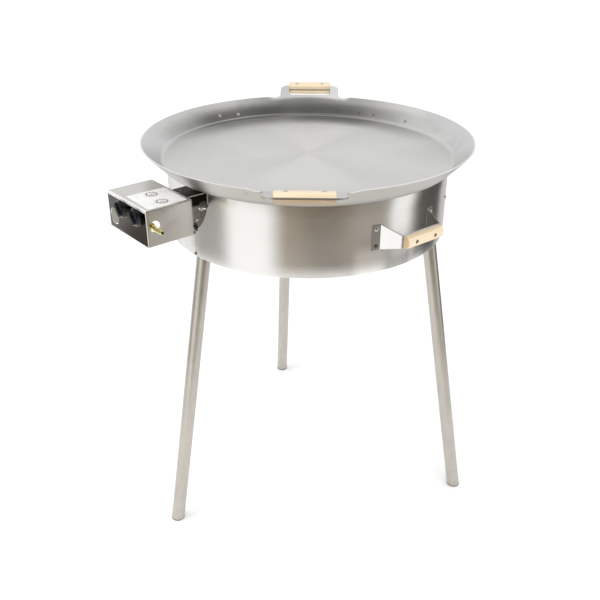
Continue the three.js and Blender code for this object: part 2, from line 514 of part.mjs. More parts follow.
// ---------------------------------------------------------------- control box
{
  const t = BOX_T;
  let shell = box(BOX_X0, BOX_X1, BOX_Y0, BOX_Y1, BOX_Z0, BOX_Z1)
    .subtract(box(BOX_X0 + t, BOX_X1 - t, BOX_Y0 + t, BOX_Y1 - t, BOX_Z0 - 10, BOX_Z1 - t));
  shell = cut(shell,
    ...KNOB_X.map((x) => rod([x, BOX_Y0 - 5, KNOB_Z], [x, BOX_Y0 + 5, KNOB_Z], 5.5, 16)),
    rod([-55, BOX_Y0 - 5, 774.5], [-55, BOX_Y0 + 5, 774.5], 16.5, 24),
    rod([BOX_X1 - 5, -430.5, 788.5], [BOX_X1 + 5, -430.5, 788.5], 10.8, 24),
    box(CHAN_X0 + t, CHAN_X1 - t, BOX_Y1 - 5, BOX_Y1 + 5, 758, 817));
  add(stand, 'control_box', shell, M.box);

  // bridge: top and two tapering side plates, following the drum
  let ch = box(CHAN_X0, CHAN_X1, BOX_Y1 + GAP, -290, 740, DRUM_Z1).subtract(box(CHAN_X0 + t, CHAN_X1 - t, BOX_Y1 - 5, -280, 730, DRUM_Z1 - t));
  const sideCut = [[BOX_Y1 - 5, 735], [-280, 735], [-280, 792], [-305, 792], [-311, 777], [-317, 765], [-325, 756.5], [-331, 752.5], [BOX_Y1 - 5, 751]];
  ch = cut(ch, plateX(sideCut, -80, 80), turned([[0.01, 700], [DRUM_R + GAP + 0.2, 700], [DRUM_R + GAP + 0.2, 900], [0.01, 900], [0.01, 700]], 96),
    rod([30, -315.5, 796.5], [80, -315.5, 796.5], 10.5, 20), rod([50, THUMB_Y, THUMB_Z], [70, THUMB_Y, THUMB_Z], 2.5, 12), rod([50, -330.5, 772.5], [70, -330.5, 772.5], 1.9, 10));
  add(stand, 'control_channel', ch, M.bright);

  // rail, barb and valves
  const rail = union(rod([-28, RAIL_Y, RAIL_Z], [57, RAIL_Y, RAIL_Z], RAIL_R, 14), rod([55, RAIL_Y, RAIL_Z], [67.8, RAIL_Y, RAIL_Z], 8, 6))
    .subtract(rod([-22, RAIL_Y, RAIL_Z], [80, RAIL_Y, RAIL_Z], 3.4, 10));
  add(stand, 'gas_rail', rail, M.brass);
  const bx = 68.1;
  const L = BARB_END - bx;
  const barb = [[2.6, 0], [5, 0], [5, 8], [4.2, 9]];
  for (let i = 0; i < 3; i++) { const h = 12.5 + i * 7.7; barb.push([4.1, h], [4.9, h + 0.8], [4.1, h + 6.8]); }
  barb.push([3.6, L], [2.6, L], [2.6, 0]);
  add(stand, 'hose_barb', turnedAlong(barb, 12, [bx, RAIL_Y, RAIL_Z], [bx + 10, RAIL_Y, RAIL_Z]), M.brass);

  KNOB_X.forEach((x, k) => {
    const n = ['inner', 'outer'][k];
    const yf = BOX_Y0 + t + 2.2;                     // front of the valve
    const valve = cut(
      union(
        rod([x, yf, KNOB_Z], [x, yf + 8, KNOB_Z], 8.8, 16),
        box(x - 10, x + 10, yf + 5, yf + 32, RAIL_Z + RAIL_R + GAP, KNOB_Z + 10),
        rod([x, yf + 30, KNOB_Z], [x, yf + 38, KNOB_Z], 6, 10),
        rod([x, yf + 36, KNOB_Z], [x, yf + 50, KNOB_Z], 3.4, 10),
      ),
      rod([x, yf - 2, KNOB_Z], [x, yf + 22, KNOB_Z], 6.6, 14),
    );
    add(stand, `gas_valve_${n}`, valve, M.brass);
    // spring seat: washer round the stem
    const seat = [[3.9, 0], [6.2, 0], [6.2, 3], [3.9, 3], [3.9, 0]];
    add(stand, `spring_seat_${n}`, turnedAlong(seat, 14, [x, yf + 3, KNOB_Z], [x, yf + 20, KNOB_Z]), M.bright);
    // stem
    add(stand, `valve_stem_${n}`, turnedAlong([[0, 0], [3, 0], [3, 31.5], [0, 31.5]], 12, [x, KNOB_BACK - 9, KNOB_Z], [x, KNOB_BACK, KNOB_Z]), M.bright);
    // knob: skirt, boss and bar grip, with a blind bore for the stem
    const f = KNOB_BACK - KNOB_LEN;
    let knob = turnedAlong([[0, 0], [KNOB_R, 0], [KNOB_R, 2.2], [KNOB_R - 1.6, 4], [14.8, 4.4], [14.2, 6.9], [13.2, 7.7], [0, 7.7]], 24, [x, KNOB_BACK, KNOB_Z], [x, f, KNOB_Z]);
    const bar = [[x - 4.9, KNOB_BACK - 5.6], [x + 4.9, KNOB_BACK - 5.6], [x + 3.9, f + 0.8], [x + 3.1, f], [x - 3.1, f], [x - 3.9, f + 0.8]];
    let grip = plate(bar, KNOB_Z - 14, KNOB_Z + 14).intersect(turnedAlong([[0, 0], [15, 0], [14.2, 11.3], [12.9, 12.6], [0, 12.6]], 24, [x, KNOB_BACK, KNOB_Z], [x, f, KNOB_Z]))
      .translate([-x, 0, -KNOB_Z]).rotate([0, KNOB_LEAN, 0]).translate([x, 0, KNOB_Z]);
    knob = knob.add(grip).subtract(rod([x, KNOB_BACK + 1, KNOB_Z], [x, KNOB_BACK - 9.3, KNOB_Z], 3.3, 12));
    add(stand, `knob_${n}`, knob, M.black);
  });

  // thumb screw and rivet in the right side plate of the bridge
  const tx = 52;
  const tw = turnedAlong([[0, 0], [2.2, 0], [2.2, 6.3], [4.4, 6.3], [3.9, 14], [0, 14]], 14, [tx, THUMB_Y, THUMB_Z], [tx + 10, THUMB_Y, THUMB_Z]);
  const wing = new THREE.BoxGeometry(5.5, 4.4, 15);
  wing.translate(tx + 11, THUMB_Y, THUMB_Z);
  add(stand, 'thumb_screw', tw.add(solid(wing)), M.black);
  add(stand, 'bridge_rivet', turnedAlong([[0, 0], [1.6, 0], [1.6, 4], [3, 4], [2.2, 5.3], [0, 5.3]], 10, [54.3, -330.5, 772.5], [60, -330.5, 772.5]), M.bright);
}

// drum, cut last so that it takes every hole
{
  const hz = DRUM_HEM, t = DRUM_T;
  let drum = turned([
    [DRUM_R, DRUM_Z0], [DRUM_R, DRUM_Z1], [DRUM_R - hz, DRUM_Z1], [DRUM_R - hz, DRUM_Z1 - 2], [DRUM_R - t, DRUM_Z1 - 2],
    [DRUM_R - t, DRUM_Z0],
  ], 64);
  drum = drum.subtract(box(CHAN_X0 + 1.5, CHAN_X1 - 1.5, -330, -280, 774, 812));
  drumHoles.forEach((h) => { drum = drum.subtract(h); });
  add(stand, 'drum_shell', drum, M.drum);
}

group.position.set(0, ORIGIN_Y, 0);
group.updateMatrixWorld(true);

export default group;
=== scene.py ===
import json
import math

import bmesh
import bpy
from mathutils import Matrix, Vector
from mathutils.geometry import delaunay_2d_cdt

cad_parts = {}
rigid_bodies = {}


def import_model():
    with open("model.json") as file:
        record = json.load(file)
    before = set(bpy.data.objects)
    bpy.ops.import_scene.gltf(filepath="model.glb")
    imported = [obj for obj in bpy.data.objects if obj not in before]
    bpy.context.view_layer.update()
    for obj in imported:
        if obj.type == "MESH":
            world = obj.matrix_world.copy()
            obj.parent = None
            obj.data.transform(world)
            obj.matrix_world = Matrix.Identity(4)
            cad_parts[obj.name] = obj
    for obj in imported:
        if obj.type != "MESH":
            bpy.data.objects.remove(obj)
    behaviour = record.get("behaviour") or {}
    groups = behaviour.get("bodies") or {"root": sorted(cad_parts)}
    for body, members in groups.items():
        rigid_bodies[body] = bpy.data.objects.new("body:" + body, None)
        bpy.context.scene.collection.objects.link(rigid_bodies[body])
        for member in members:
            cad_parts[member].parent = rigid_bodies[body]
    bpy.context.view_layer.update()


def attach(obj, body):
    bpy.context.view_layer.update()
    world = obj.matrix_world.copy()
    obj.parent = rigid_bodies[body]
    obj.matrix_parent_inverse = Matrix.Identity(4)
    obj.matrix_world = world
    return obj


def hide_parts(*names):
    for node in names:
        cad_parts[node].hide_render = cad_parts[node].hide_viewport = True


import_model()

scene = bpy.context.scene

# Everything below is drawn in millimetres about the drum axis, as in the CAD source,
# and turned into the row frame (metres) when a piece is finished.
AXIS_Y = 52.25

# ------------------------------------------------------------------ dimensions
DRUM_R, DRUM_T, DRUM_Z0, DRUM_Z1 = 308.0, 2.0, 670.0, 822.0
PAN_T, PAN_FLOOR_Z, PAN_RIM_R, PAN_RIM_Z = 3.2, 825.5, 360.0, 866.0
PAN_BEND_R = 317.24            # where floor and wall would meet without the bend
PAN_BEND = 8.0                 # radius of that bend
WALL_SLOPE = 1.0237
EAR_AZ = {"front": 318.75, "rear": 138.75}
EAR_SLOPE, EAR_END, EAR_HALF = 0.21, 420.0, 75.5
GRIP_R, GRIP_W, GRIP_L, GRIP_H = 408.0, 26.0, 108.0, 9.5
GAP = 0.3
HANDLE_TURN, HANDLE_Z = -1.2, 746.0
HANDLE_BAR_X, HANDLE_BAR_HALF, HANDLE_FOOT_HALF = 349.0, 50.5, 66.0
HANDLE_FLANGE, HANDLE_T, HANDLE_H0, HANDLE_H1 = 18.0, 3.0, 52.0, 27.0
LEG_R, LEG_T = 15.0, 1.5
LEG_AZ = {"front": 270.0, "right": 30.0, "left": 150.0}
LEG_TOP_R, LEG_FOOT_R, LEG_INSIDE = 282.0, 402.0, 50.0
FOOT_T, FOOT_PLUG = 3.0, 24.0
RING_Z, RING_TUBE = 748.0, 12.0
RING_R = {"inner": 100.0, "outer": 200.0}
BOX_X0, BOX_X1, BOX_Y0, BOX_Y1, BOX_Z0, BOX_Z1, BOX_T = -77.0, 71.0, -447.5, -347.0, 749.5, 822.0, 1.5
KNOB_X = {"inner": -12.0, "outer": 42.0}
KNOB_Z, KNOB_R = 803.5, 17.5
KNOB_BACK, KNOB_LEN, KNOB_LEAN = BOX_Y0 - 4.5, 12.5, -42.0
RAIL_Y, RAIL_Z, BARB_END = -435.5, 788.0, 106.0
CHAN_X0, CHAN_X1 = 0.0, 58.0
HEM_Z = 817.9                  # groove under the folded front edge of the box
THUMB_Y, THUMB_Z = -338.0, 760.0


def rad(d):
    return math.radians(d)


# -------------------------------------------------------------------- geometry
class Shape:
    """A mesh being drawn. M places what is drawn next; m is its material number."""

    def __init__(self):
        self.bm = bmesh.new()
        self.M = Matrix.Identity(4)
        self.m = 0

    def v(self, x, y, z):
        return self.bm.verts.new(self.M @ Vector((x, y, z)))

    def f(self, vs, m=None):
        vs = [v for i, v in enumerate(vs) if v is not vs[i - 1]]
        if len(vs) < 3:
            return None
        try:
            face = self.bm.faces.new(vs)
        except ValueError:
            return None
        face.material_index = self.m if m is None else m
        face.smooth = True
        return face


def frame_to(a, b):
    """Matrix whose origin is a and whose +Z points to b."""
    a, b = Vector(a), Vector(b)
    q = Vector((0, 0, 1)).rotation_difference((b - a).normalized())
    return Matrix.Translation(a) @ q.to_matrix().to_4x4()


def turn_z(deg):
    return Matrix.Rotation(rad(deg), 4, "Z")


def rounded(points, radii, n=4, closed=True):
    """Polyline with its corners replaced by arcs."""
    out, count = [], len(points)
    for i, p in enumerate(points):
        r = radii[i] if isinstance(radii, (list, tuple)) else radii
        if r <= 0 or (not closed and i in (0, count - 1)):
            out.append((p[0], p[1]))
            continue
        b = Vector((p[0], p[1]))
        a, c = Vector(points[i - 1][:2]), Vector(points[(i + 1) % count][:2])
        d1, d2 = a - b, c - b
        l1, l2 = d1.length, d2.length
        d1.normalize()
        d2.normalize()
        ang = math.acos(max(-1, min(1, d1.dot(d2))))
        if ang > math.pi - 0.02:
            out.append((p[0], p[1]))
            continue
        t = min(r / math.tan(ang / 2), l1 * 0.49, l2 * 0.49)
        rr = t * math.tan(ang / 2)
        centre = b + (d1 + d2).normalized() * (rr / math.sin(ang / 2))
        p0, p1 = b + d1 * t, b + d2 * t
        a0 = math.atan2(p0.y - centre.y, p0.x - centre.x)
        a1 = math.atan2(p1.y - centre.y, p1.x - centre.x)
        da = (a1 - a0 + math.pi) % (2 * math.pi) - math.pi
        for k in range(n + 1):
            t2 = a0 + da * k / n
            out.append((centre.x + rr * math.cos(t2), centre.y + rr * math.sin(t2)))
    return out


def circle(r, n, x=0.0, y=0.0, start=0.0):
    return [
        (x + r * math.cos(start + 2 * math.pi * i / n), y + r * math.sin(start + 2 * math.pi * i / n))
        for i in range(n)
    ]


def lathe(s, prof, seg, closed=False, mats=None):
    """Turned surface about local +Z from a list of (radius, height)."""
    rings = []
    for r, h in prof:
        if r < 1e-6:
            rings.append([s.v(0, 0, h)])
        else:
            rings.append(
                [s.v(r * math.cos(2 * math.pi * i / seg), r * math.sin(2 * math.pi * i / seg), h) for i in range(seg)]
            )
    pairs = list(zip(rings, rings[1:]))
    if closed:
        pairs.append((rings[-1], rings[0]))
    for k, (a, b) in enumerate(pairs):
        m = mats[k] if mats else None
        for i in range(seg):
            j = (i + 1) % seg
            if len(a) == 1 and len(b) == 1:
                continue
            if len(a) == 1:
                s.f([a[0], b[i], b[j]], m)
            elif len(b) == 1:
                s.f([a[i], b[0], a[j]], m)
            else:
                s.f([a[i], b[i], b[j], a[j]], m)


def inside(p, loop):
    x, y = p[0], p[1]
    hit, j = False, len(loop) - 1
    for i in range(len(loop)):
        (xi, yi), (xj, yj) = loop[i][:2], loop[j][:2]
        if (yi > y) != (yj > y) and x < (xj - xi) * (y - yi) / (yj - yi) + xi:
            hit = not hit
        j = i
    return hit


def triangles(outer, holes=(), extra=()):
    """Triangles of an outline with holes: (points, faces, index of each boundary point)."""
    pts, edges = [], []
    for loop in (outer, *holes):
        n0 = len(pts)
        pts += [Vector(p[:2]) for p in loop]
        edges += [(n0 + i, n0 + (i + 1) % len(loop)) for i in range(len(loop))]
    pts += [Vector(p) for p in extra]
    verts, _, faces, orig, _, _ = delaunay_2d_cdt(pts, edges, [], 0, 1e-6)
    where = {}
    for new, olds in enumerate(orig):
        for o in olds:
            where[o] = new
    kept = []
    for f in faces:
        c = (sum(verts[i].x for i in f) / len(f), sum(verts[i].y for i in f) / len(f))
        if inside(c, outer) and not any(inside(c, h) for h in holes):
            kept.append(list(f))
    return [(v.x, v.y) for v in verts], kept, where


def slab(s, outer, z0, z1, holes=()):
    """Outline in local XY raised along local Z."""
    if not holes:
        lo = [s.v(x, y, z0) for x, y in outer]
        hi = [s.v(x, y, z1) for x, y in outer]
        s.f(lo[::-1])
        s.f(hi)
        for i in range(len(outer)):
            j = (i + 1) % len(outer)
            s.f([lo[i], lo[j], hi[j], hi[i]])
        return
    pts, faces, where = triangles(outer, holes)
    lo = [s.v(x, y, z0) for x, y in pts]
    hi = [s.v(x, y, z1) for x, y in pts]
    for f in faces:
        s.f([hi[i] for i in f])
        s.f([lo[i] for i in reversed(f)])
    n0 = 0
    for loop in (outer, *holes):
        for i in range(len(loop)):
            a, b = where[n0 + i], where[n0 + (i + 1) % len(loop)]
            s.f([lo[a], lo[b], hi[b], hi[a]])
        n0 += len(loop)


def sweep(s, path, section, ring=False, hollow=None):
    """Section (list of x, y) carried along a path of 3-D points."""
    pts = [Vector(p) for p in path]
    n = len(pts)
    tans = []
    for i in range(n):
        if ring:
            t = pts[(i + 1) % n] - pts[i - 1]
        else:
            t = pts[min(i + 1, n - 1)] - pts[max(i - 1, 0)]
        tans.append(t.normalized())
    up = Vector((0, 0, 1)) if abs(tans[0].z) < 0.9 else Vector((0, 1, 0))
    x = tans[0].cross(up).normalized()
    frames = []
    for i in range(n):
        if i:
            q = tans[i - 1].rotation_difference(tans[i])
            x = (q @ x).normalized()
        y = tans[i].cross(x).normalized()
        frames.append((x.copy(), y))
    def rings_of(sec):
        return [[s.v(*(p + fx * a + fy * b)) for a, b in sec] for p, (fx, fy) in zip(pts, frames)]
    outer = rings_of(section)
    m = len(section)
    for k in range(n if ring else n - 1):
        a, b = outer[k], outer[(k + 1) % n]
        for i in range(m):
            s.f([a[i], a[(i + 1) % m], b[(i + 1) % m], b[i]])
    if ring:
        return
    if hollow:
        inner = rings_of(hollow)
        for k in range(n - 1):
            a, b = inner[k], inner[k + 1]
            for i in range(m):
                s.f([b[i], b[(i + 1) % m], a[(i + 1) % m], a[i]])
        for e in (0, -1):
            for i in range(m):
                s.f([outer[e][i], outer[e][(i + 1) % m], inner[e][(i + 1) % m], inner[e][i]])
    else:
        s.f(outer[0][::-1])
        s.f(outer[-1])


def smooth_path(points, steps):
    """Centripetal Catmull-Rom curve through the points."""
    P = [Vector(p) for p in points]
    P = [P[0] * 2 - P[1], *P, P[-1] * 2 - P[-2]]
    out = []
    for i in range(1, len(P) - 2):
        p0, p1, p2, p3 = P[i - 1 : i + 3]
        t0 = 0.0
        t1 = t0 + max((p1 - p0).length ** 0.5, 1e-6)
        t2 = t1 + max((p2 - p1).length ** 0.5, 1e-6)
        t3 = t2 + max((p3 - p2).length ** 0.5, 1e-6)
        for k in range(steps):
            t = t1 + (t2 - t1) * k / steps
            a1 = p0 * ((t1 - t) / (t1 - t0)) + p1 * ((t - t0) / (t1 - t0))
            a2 = p1 * ((t2 - t) / (t2 - t1)) + p2 * ((t - t1) / (t2 - t1))
            a3 = p2 * ((t3 - t) / (t3 - t2)) + p3 * ((t - t2) / (t3 - t2))
            b1 = a1 * ((t2 - t) / (t2 - t0)) + a2 * ((t - t0) / (t2 - t0))
            b2 = a2 * ((t3 - t) / (t3 - t1)) + a3 * ((t - t1) / (t3 - t1))
            out.append(b1 * ((t2 - t) / (t2 - t1)) + b2 * ((t - t1) / (t2 - t1)))
    out.append(P[-2])
    return out


def cuboid(s, x0, x1, y0, y1, z0, z1):
    c = [s.v(x, y, z) for z in (z0, z1) for y in (y0, y1) for x in (x0, x1)]
    for q in ((0, 2, 3, 1), (4, 5, 7, 6), (0, 1, 5, 4), (2, 6, 7, 3), (1, 3, 7, 5), (0, 4, 6, 2)):
        s.f([c[i] for i in q])
    return c


def raw(name, s, mats=()):
    """The drawn shape as an object in the row frame."""
    bm = s.bm
    bmesh.ops.remove_doubles(bm, verts=bm.verts, dist=0.002)
    bmesh.ops.recalc_face_normals(bm, faces=bm.faces)
    for v in bm.verts:
        v.co = Vector((v.co.x, v.co.y + AXIS_Y, v.co.z)) * 0.001
    me = bpy.data.meshes.new(name)
    bm.to_mesh(me)
    bm.free()
    for m in mats:
        me.materials.append(m)
    o = bpy.data.objects.new(name, me)
    scene.collection.objects.link(o)
    return o


def boolean(o, cutters, operation="DIFFERENCE"):
    for c in cutters:
        md = o.modifiers.new("cut", "BOOLEAN")
        md.object, md.operation, md.solver = c, operation, "EXACT"
    bpy.context.view_layer.update()
    dg = bpy.context.evaluated_depsgraph_get()
    me = bpy.data.meshes.new_from_object(o.evaluated_get(dg))
    old = o.data
    mats = list(old.materials)
    o.modifiers.clear()
    o.data = me
    me.materials.clear()
    for m in mats:
        me.materials.append(m)
    bpy.data.meshes.remove(old)
    for c in cutters:
        data = c.data
        bpy.data.objects.remove(c)
        bpy.data.meshes.remove(data)
    return o


def finish_piece(o, body, nodes=(), slot=None, bevel=0.0, seg=2, angle=40, sharp=35):
    """Edge rounding, shading, the body the piece rides on, and hiding the CAD nodes it replaces."""
    me = o.data
    for p in me.polygons:
        p.use_smooth = True
    me.set_sharp_from_angle(angle=rad(sharp))
    if bevel:
        md = o.modifiers.new("edges", "BEVEL")
        md.width, md.segments, md.limit_method, md.angle_limit = bevel * 0.001, seg, "ANGLE", rad(angle)
        md.harden_normals = True
        md.miter_outer = "MITER_ARC"
        md.use_clamp_overlap = True
    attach(o, body)
    if nodes:
        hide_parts(*nodes)
    return o


def piece(name, s, mats, body, nodes=(), slot=None, **kw):
    if not isinstance(mats, (list, tuple)):
        mats = [mats]
    return finish_piece(raw(name, s, mats), body, nodes, slot, **kw)


# ------------------------------------------------------------------- materials
class Net:
    """Small helper that writes a node tree."""

    def __init__(self, name):
        self.mat = bpy.data.materials.new(name)
        self.mat.use_nodes = True
        self.t = self.mat.node_tree
        self.t.nodes.clear()
        self.out = self.t.nodes.new("ShaderNodeOutputMaterial")
        self.b = self.t.nodes.new("ShaderNodeBsdfPrincipled")
        self.t.links.new(self.b.outputs[0], self.out.inputs[0])

    def put(self, socket, value):
        if isinstance(value, bpy.types.NodeSocket):
            self.t.links.new(value, socket)
        elif isinstance(value, (tuple, list)) and len(value) == 3 and len(socket.default_value) == 4:
            socket.default_value = (*value, 1.0)
        else:
            socket.default_value = value

    def set(self, **kw):
        for k, v in kw.items():
            self.put(self.b.inputs[k.replace("_", " ")], v)

    def node(self, kind, *ins, **props):
        n = self.t.nodes.new(kind)
        for k, v in props.items():
            setattr(n, k, v)
        for i, v in enumerate(ins):
            if v is not None:
                self.put(n.inputs[i], v)
        return n

    def math(self, op, *ins, clamp=False):
        return self.node("ShaderNodeMath", *ins, operation=op, use_clamp=clamp).outputs[0]

    def vmath(self, op, *ins):
        n = self.node("ShaderNodeVectorMath", *ins, operation=op)
        return n.outputs["Value"] if op in ("LENGTH", "DOT_PRODUCT", "DISTANCE") else n.outputs[0]

    def place(self):
        return self.node("ShaderNodeTexCoord").outputs["Object"]

    def split(self, v):
        return self.node("ShaderNodeSeparateXYZ", v).outputs

    def join(self, x, y, z):
        return self.node("ShaderNodeCombineXYZ", x, y, z).outputs[0]

    def scaled(self, v, x, y, z):
        return self.vmath("MULTIPLY", v, (x, y, z))

    def noise(self, v, scale, detail=2.0, rough=0.5, dist=0.0):
        n = self.node("ShaderNodeTexNoise")
        self.put(n.inputs["Vector"], v)
        for k, x in (("Scale", scale), ("Detail", detail), ("Roughness", rough), ("Distortion", dist)):
            self.put(n.inputs[k], x)
        return n.outputs[0]

    def cells(self, v, scale, feature="F1", rand=1.0):
        n = self.node("ShaderNodeTexVoronoi", feature=feature)
        self.put(n.inputs["Vector"], v)
        self.put(n.inputs["Scale"], scale)
        self.put(n.inputs["Randomness"], rand)
        return n.outputs

    def ramp(self, f, stops, interp="LINEAR"):
        n = self.node("ShaderNodeValToRGB", f)
        r = n.color_ramp
        r.interpolation = interp
        while len(r.elements) > 2:
            r.elements.remove(r.elements[-1])
        for i, (pos, col) in enumerate(stops):
            e = r.elements[i] if i < 2 else r.elements.new(pos)
            e.position = pos
            e.color = (*col, 1.0) if isinstance(col, (tuple, list)) else (col, col, col, 1.0)
        return n.outputs[0]

    def range(self, v, a, b, c=0.0, d=1.0, smooth=True):
        n = self.node(
            "ShaderNodeMapRange", v, a, b, c, d, interpolation_type="SMOOTHSTEP" if smooth else "LINEAR"
        )
        return n.outputs[0]

    def mix(self, f, a, b, blend="MIX"):
        n = self.t.nodes.new("ShaderNodeMix")
        n.data_type, n.blend_type, n.clamp_factor = "RGBA", blend, True
        self.put(n.inputs[0], f)
        self.put(n.inputs[6], a)
        self.put(n.inputs[7], b)
        return n.outputs[2]

    def bump(self, h, strength, dist, normal=None):
        n = self.t.nodes.new("ShaderNodeBump")
        self.put(n.inputs["Height"], h)
        self.put(n.inputs["Strength"], strength)
        self.put(n.inputs["Distance"], dist)
        if normal is not None:
            self.put(n.inputs["Normal"], normal)
        return n.outputs[0]

    def polar(self, cx=0.0, cy=AXIS_Y * 0.001):
        """(unit x, unit y, radius, z) about a vertical axis."""
        x, y, z = self.split(self.place())
        x = self.math("SUBTRACT", x, cx)
        y = self.math("SUBTRACT", y, cy)
        r = self.math("SQRT", self.math("ADD", self.math("MULTIPLY", x, x), self.math("MULTIPLY", y, y)))
        safe = self.math("MAXIMUM", r, 0.0005)
        return self.math("DIVIDE", x, safe), self.math("DIVIDE", y, safe), r, z

    def normal_axis(self, axis):
        """How far the surface faces along an axis, 0 to 1, either way."""
        n = self.node("ShaderNodeNewGeometry").outputs["True Normal"]
        return self.math("ABSOLUTE", self.vmath("DOT_PRODUCT", n, axis))


def tone(c, k):
    return tuple(min(1.0, x * k) for x in c)


def turned_steel(name, base, rough, lines=320.0, aniso=0.6, flip=0.25, fans=0.06):
    """Steel brushed or rolled round a vertical axis: fine circular lines, broad soft sectors, mottling."""
    g = Net(name)
    ux, uy, r, z = g.polar()
    p = g.place()
    line_v = g.join(g.math("MULTIPLY", ux, 2.2), g.math("MULTIPLY", uy, 2.2), g.math("MULTIPLY", g.math("ADD", r, z), lines))
    fine = g.noise(line_v, 1.0, 3.0, 0.6)
    fan = g.noise(g.join(g.math("MULTIPLY", ux, 2.6), g.math("MULTIPLY", uy, 2.6), g.math("MULTIPLY", r, 1.2)), 1.0, 2.0, 0.5)
    cloud = g.noise(p, 9.0, 3.0, 0.55, 0.4)
    grit = g.noise(p, 160.0, 4.0, 0.65)
    f = g.math("ADD", g.math("MULTIPLY", g.math("SUBTRACT", fan, 0.5), fans * 4), 0.5)
    f = g.math("ADD", f, g.math("MULTIPLY", g.math("SUBTRACT", cloud, 0.5), 0.5))
    f = g.math("ADD", f, g.math("MULTIPLY", g.math("SUBTRACT", fine, 0.5), 0.35))
    f = g.math("ADD", f, g.math("MULTIPLY", g.math("SUBTRACT", grit, 0.5), 0.18), clamp=True)
    col = g.ramp(f, [(0.0, tone(base, 0.84)), (0.5, base), (1.0, tone(base, 1.1))])
    rr = g.math("ADD", rough, g.math("MULTIPLY", g.math("SUBTRACT", cloud, 0.5), 0.10))
    rr = g.math("ADD", rr, g.math("MULTIPLY", g.math("SUBTRACT", fine, 0.5), 0.08))
    h = g.math("ADD", g.math("MULTIPLY", fine, 0.6), g.math("MULTIPLY", grit, 0.4))
    g.set(Metallic=1.0, Anisotropic=aniso, Anisotropic_Rotation=flip)
    g.put(g.b.inputs["Base Color"], col)
    g.put(g.b.inputs["Roughness"], rr)
    g.put(g.b.inputs["Normal"], g.bump(h, 0.12, 0.0003))
    t = g.node("ShaderNodeTangent", direction_type="RADIAL", axis="Z")
    g.put(g.b.inputs["Tangent"], t.outputs[0])
    return g


def rear_side(g, ux, uy, az=EAR_AZ["rear"]):
    """1 in the direction az seen from the drum axis, falling to 0 at right angles to it."""
    c, sn = math.cos(rad(az)), math.sin(rad(az))
    return g.math("ADD", g.math("MULTIPLY", ux, c), g.math("MULTIPLY", uy, sn))


def finish_pan_wall(g):
    """Press marks, stain spots, and painted light on the wall: painted shade at the foot of the rear wall and low on
    its left, painted highlights in the rear corner and along the bend.
    """
    p = g.place()
    col = g.b.inputs["Base Color"].links[0].from_socket
    ux, uy, r, z = g.polar()
    side = rear_side(g, ux, uy)
    band = g.math("MULTIPLY", g.range(r, 0.316, 0.324), g.range(r, 0.352, 0.332))
    stain = g.noise(p, 22.0, 3.0, 0.6, 0.6)
    k = g.math("MULTIPLY", band, g.range(stain, 0.42, 0.68, 0.0, 0.25))
    col = g.mix(k, col, (0.40, 0.40, 0.395))
    # painted shade towards the foot of the rear wall, lifted by a painted highlight in its corner
    wob = g.math("MULTIPLY", g.math("SUBTRACT", stain, 0.5), 0.008)
    foot = g.math("MULTIPLY", g.range(g.math("ADD", r, wob), 0.357, 0.328), g.range(rear_side(g, ux, uy, 158.0), 0.35, 0.92))
    corner = g.math("MULTIPLY", g.range(r, 0.338, 0.351), g.range(rear_side(g, ux, uy, 110.0), 0.86, 0.975))
    foot = g.math("MULTIPLY", foot, g.math("SUBTRACT", 1.0, g.math("MULTIPLY", corner, 0.8)))
    col = g.mix(g.math("MULTIPLY", foot, 0.66), col, (0.10, 0.10, 0.098))
    col = g.mix(g.math("MULTIPLY", corner, 0.6), col, (0.96, 0.955, 0.94))
    # painted shade low on the left of the wall
    left = g.math("MULTIPLY", g.range(g.math("ADD", r, wob), 0.350, 0.330), g.range(rear_side(g, ux, uy, 171.0), 0.90, 0.985))
    col = g.mix(g.math("MULTIPLY", left, 0.5), col, (0.05, 0.05, 0.049))
    # painted highlight along the bend at the foot of the wall
    bend_highlight = g.range(g.math("ABSOLUTE", g.math("SUBTRACT", r, 0.3212)), 0.0016, 0.0006)
    col = g.mix(g.math("MULTIPLY", bend_highlight, 0.45), col, (0.80, 0.795, 0.78))
    for az, rr, size, dark in PRESS_MARKS:
        c = (rr * math.cos(rad(az)) * 0.001, (rr * math.sin(rad(az)) + AXIS_Y) * 0.001, (825.5 + (rr - PAN_BEND_R) * WALL_SLOPE) * 0.001)
        d = g.vmath("DISTANCE", p, c)
        m = g.range(d, size * 0.0008, size * 0.0002, 0.0, 0.62)
        col = g.mix(m, col, (0.20, 0.20, 0.195) if dark else (0.80, 0.80, 0.79))
    g.put(g.b.inputs["Base Color"], col)
    return g.mat


def finish_pan_floor(g):
    """Painted highlight in a brighter sector across the middle, painted shade along the rear edge and on the flanks."""
    col = g.b.inputs["Base Color"].links[0].from_socket
    ux, uy, r, z = g.polar()
    side = rear_side(g, ux, uy)
    across = g.math("ABSOLUTE", side)
    # painted highlight: a brighter sector across the middle
    fan = g.math("MULTIPLY", g.range(across, 0.80, 0.99), g.range(r, 0.0, 0.05, 0.6, 1.0))
    fan = g.math("MULTIPLY", fan, g.range(r, 0.29, 0.18))
    col = g.mix(g.math("MULTIPLY", fan, 0.34), col, (0.95, 0.945, 0.93))
    # painted shade along the rear edge of the floor
    edge = g.math("MULTIPLY", g.range(r, 0.225, 0.294), g.range(side, 0.25, 0.85))
    col = g.mix(g.math("MULTIPLY", edge, 0.42), col, (0.085, 0.083, 0.08))
    rear = g.math("MULTIPLY", g.range(r, 0.225, 0.296), g.range(rear_side(g, ux, uy, 127.0), 0.90, 0.99))
    col = g.mix(g.math("MULTIPLY", rear, 0.62), col, (0.085, 0.083, 0.08))
    # painted shade on the flanks of the floor
    flank = g.math("MULTIPLY", g.range(r, 0.10, 0.28), g.range(across, 0.45, 0.1))
    col = g.mix(g.math("MULTIPLY", flank, 0.16), col, (0.34, 0.34, 0.335))
    g.put(g.b.inputs["Base Color"], col)
    return g.mat


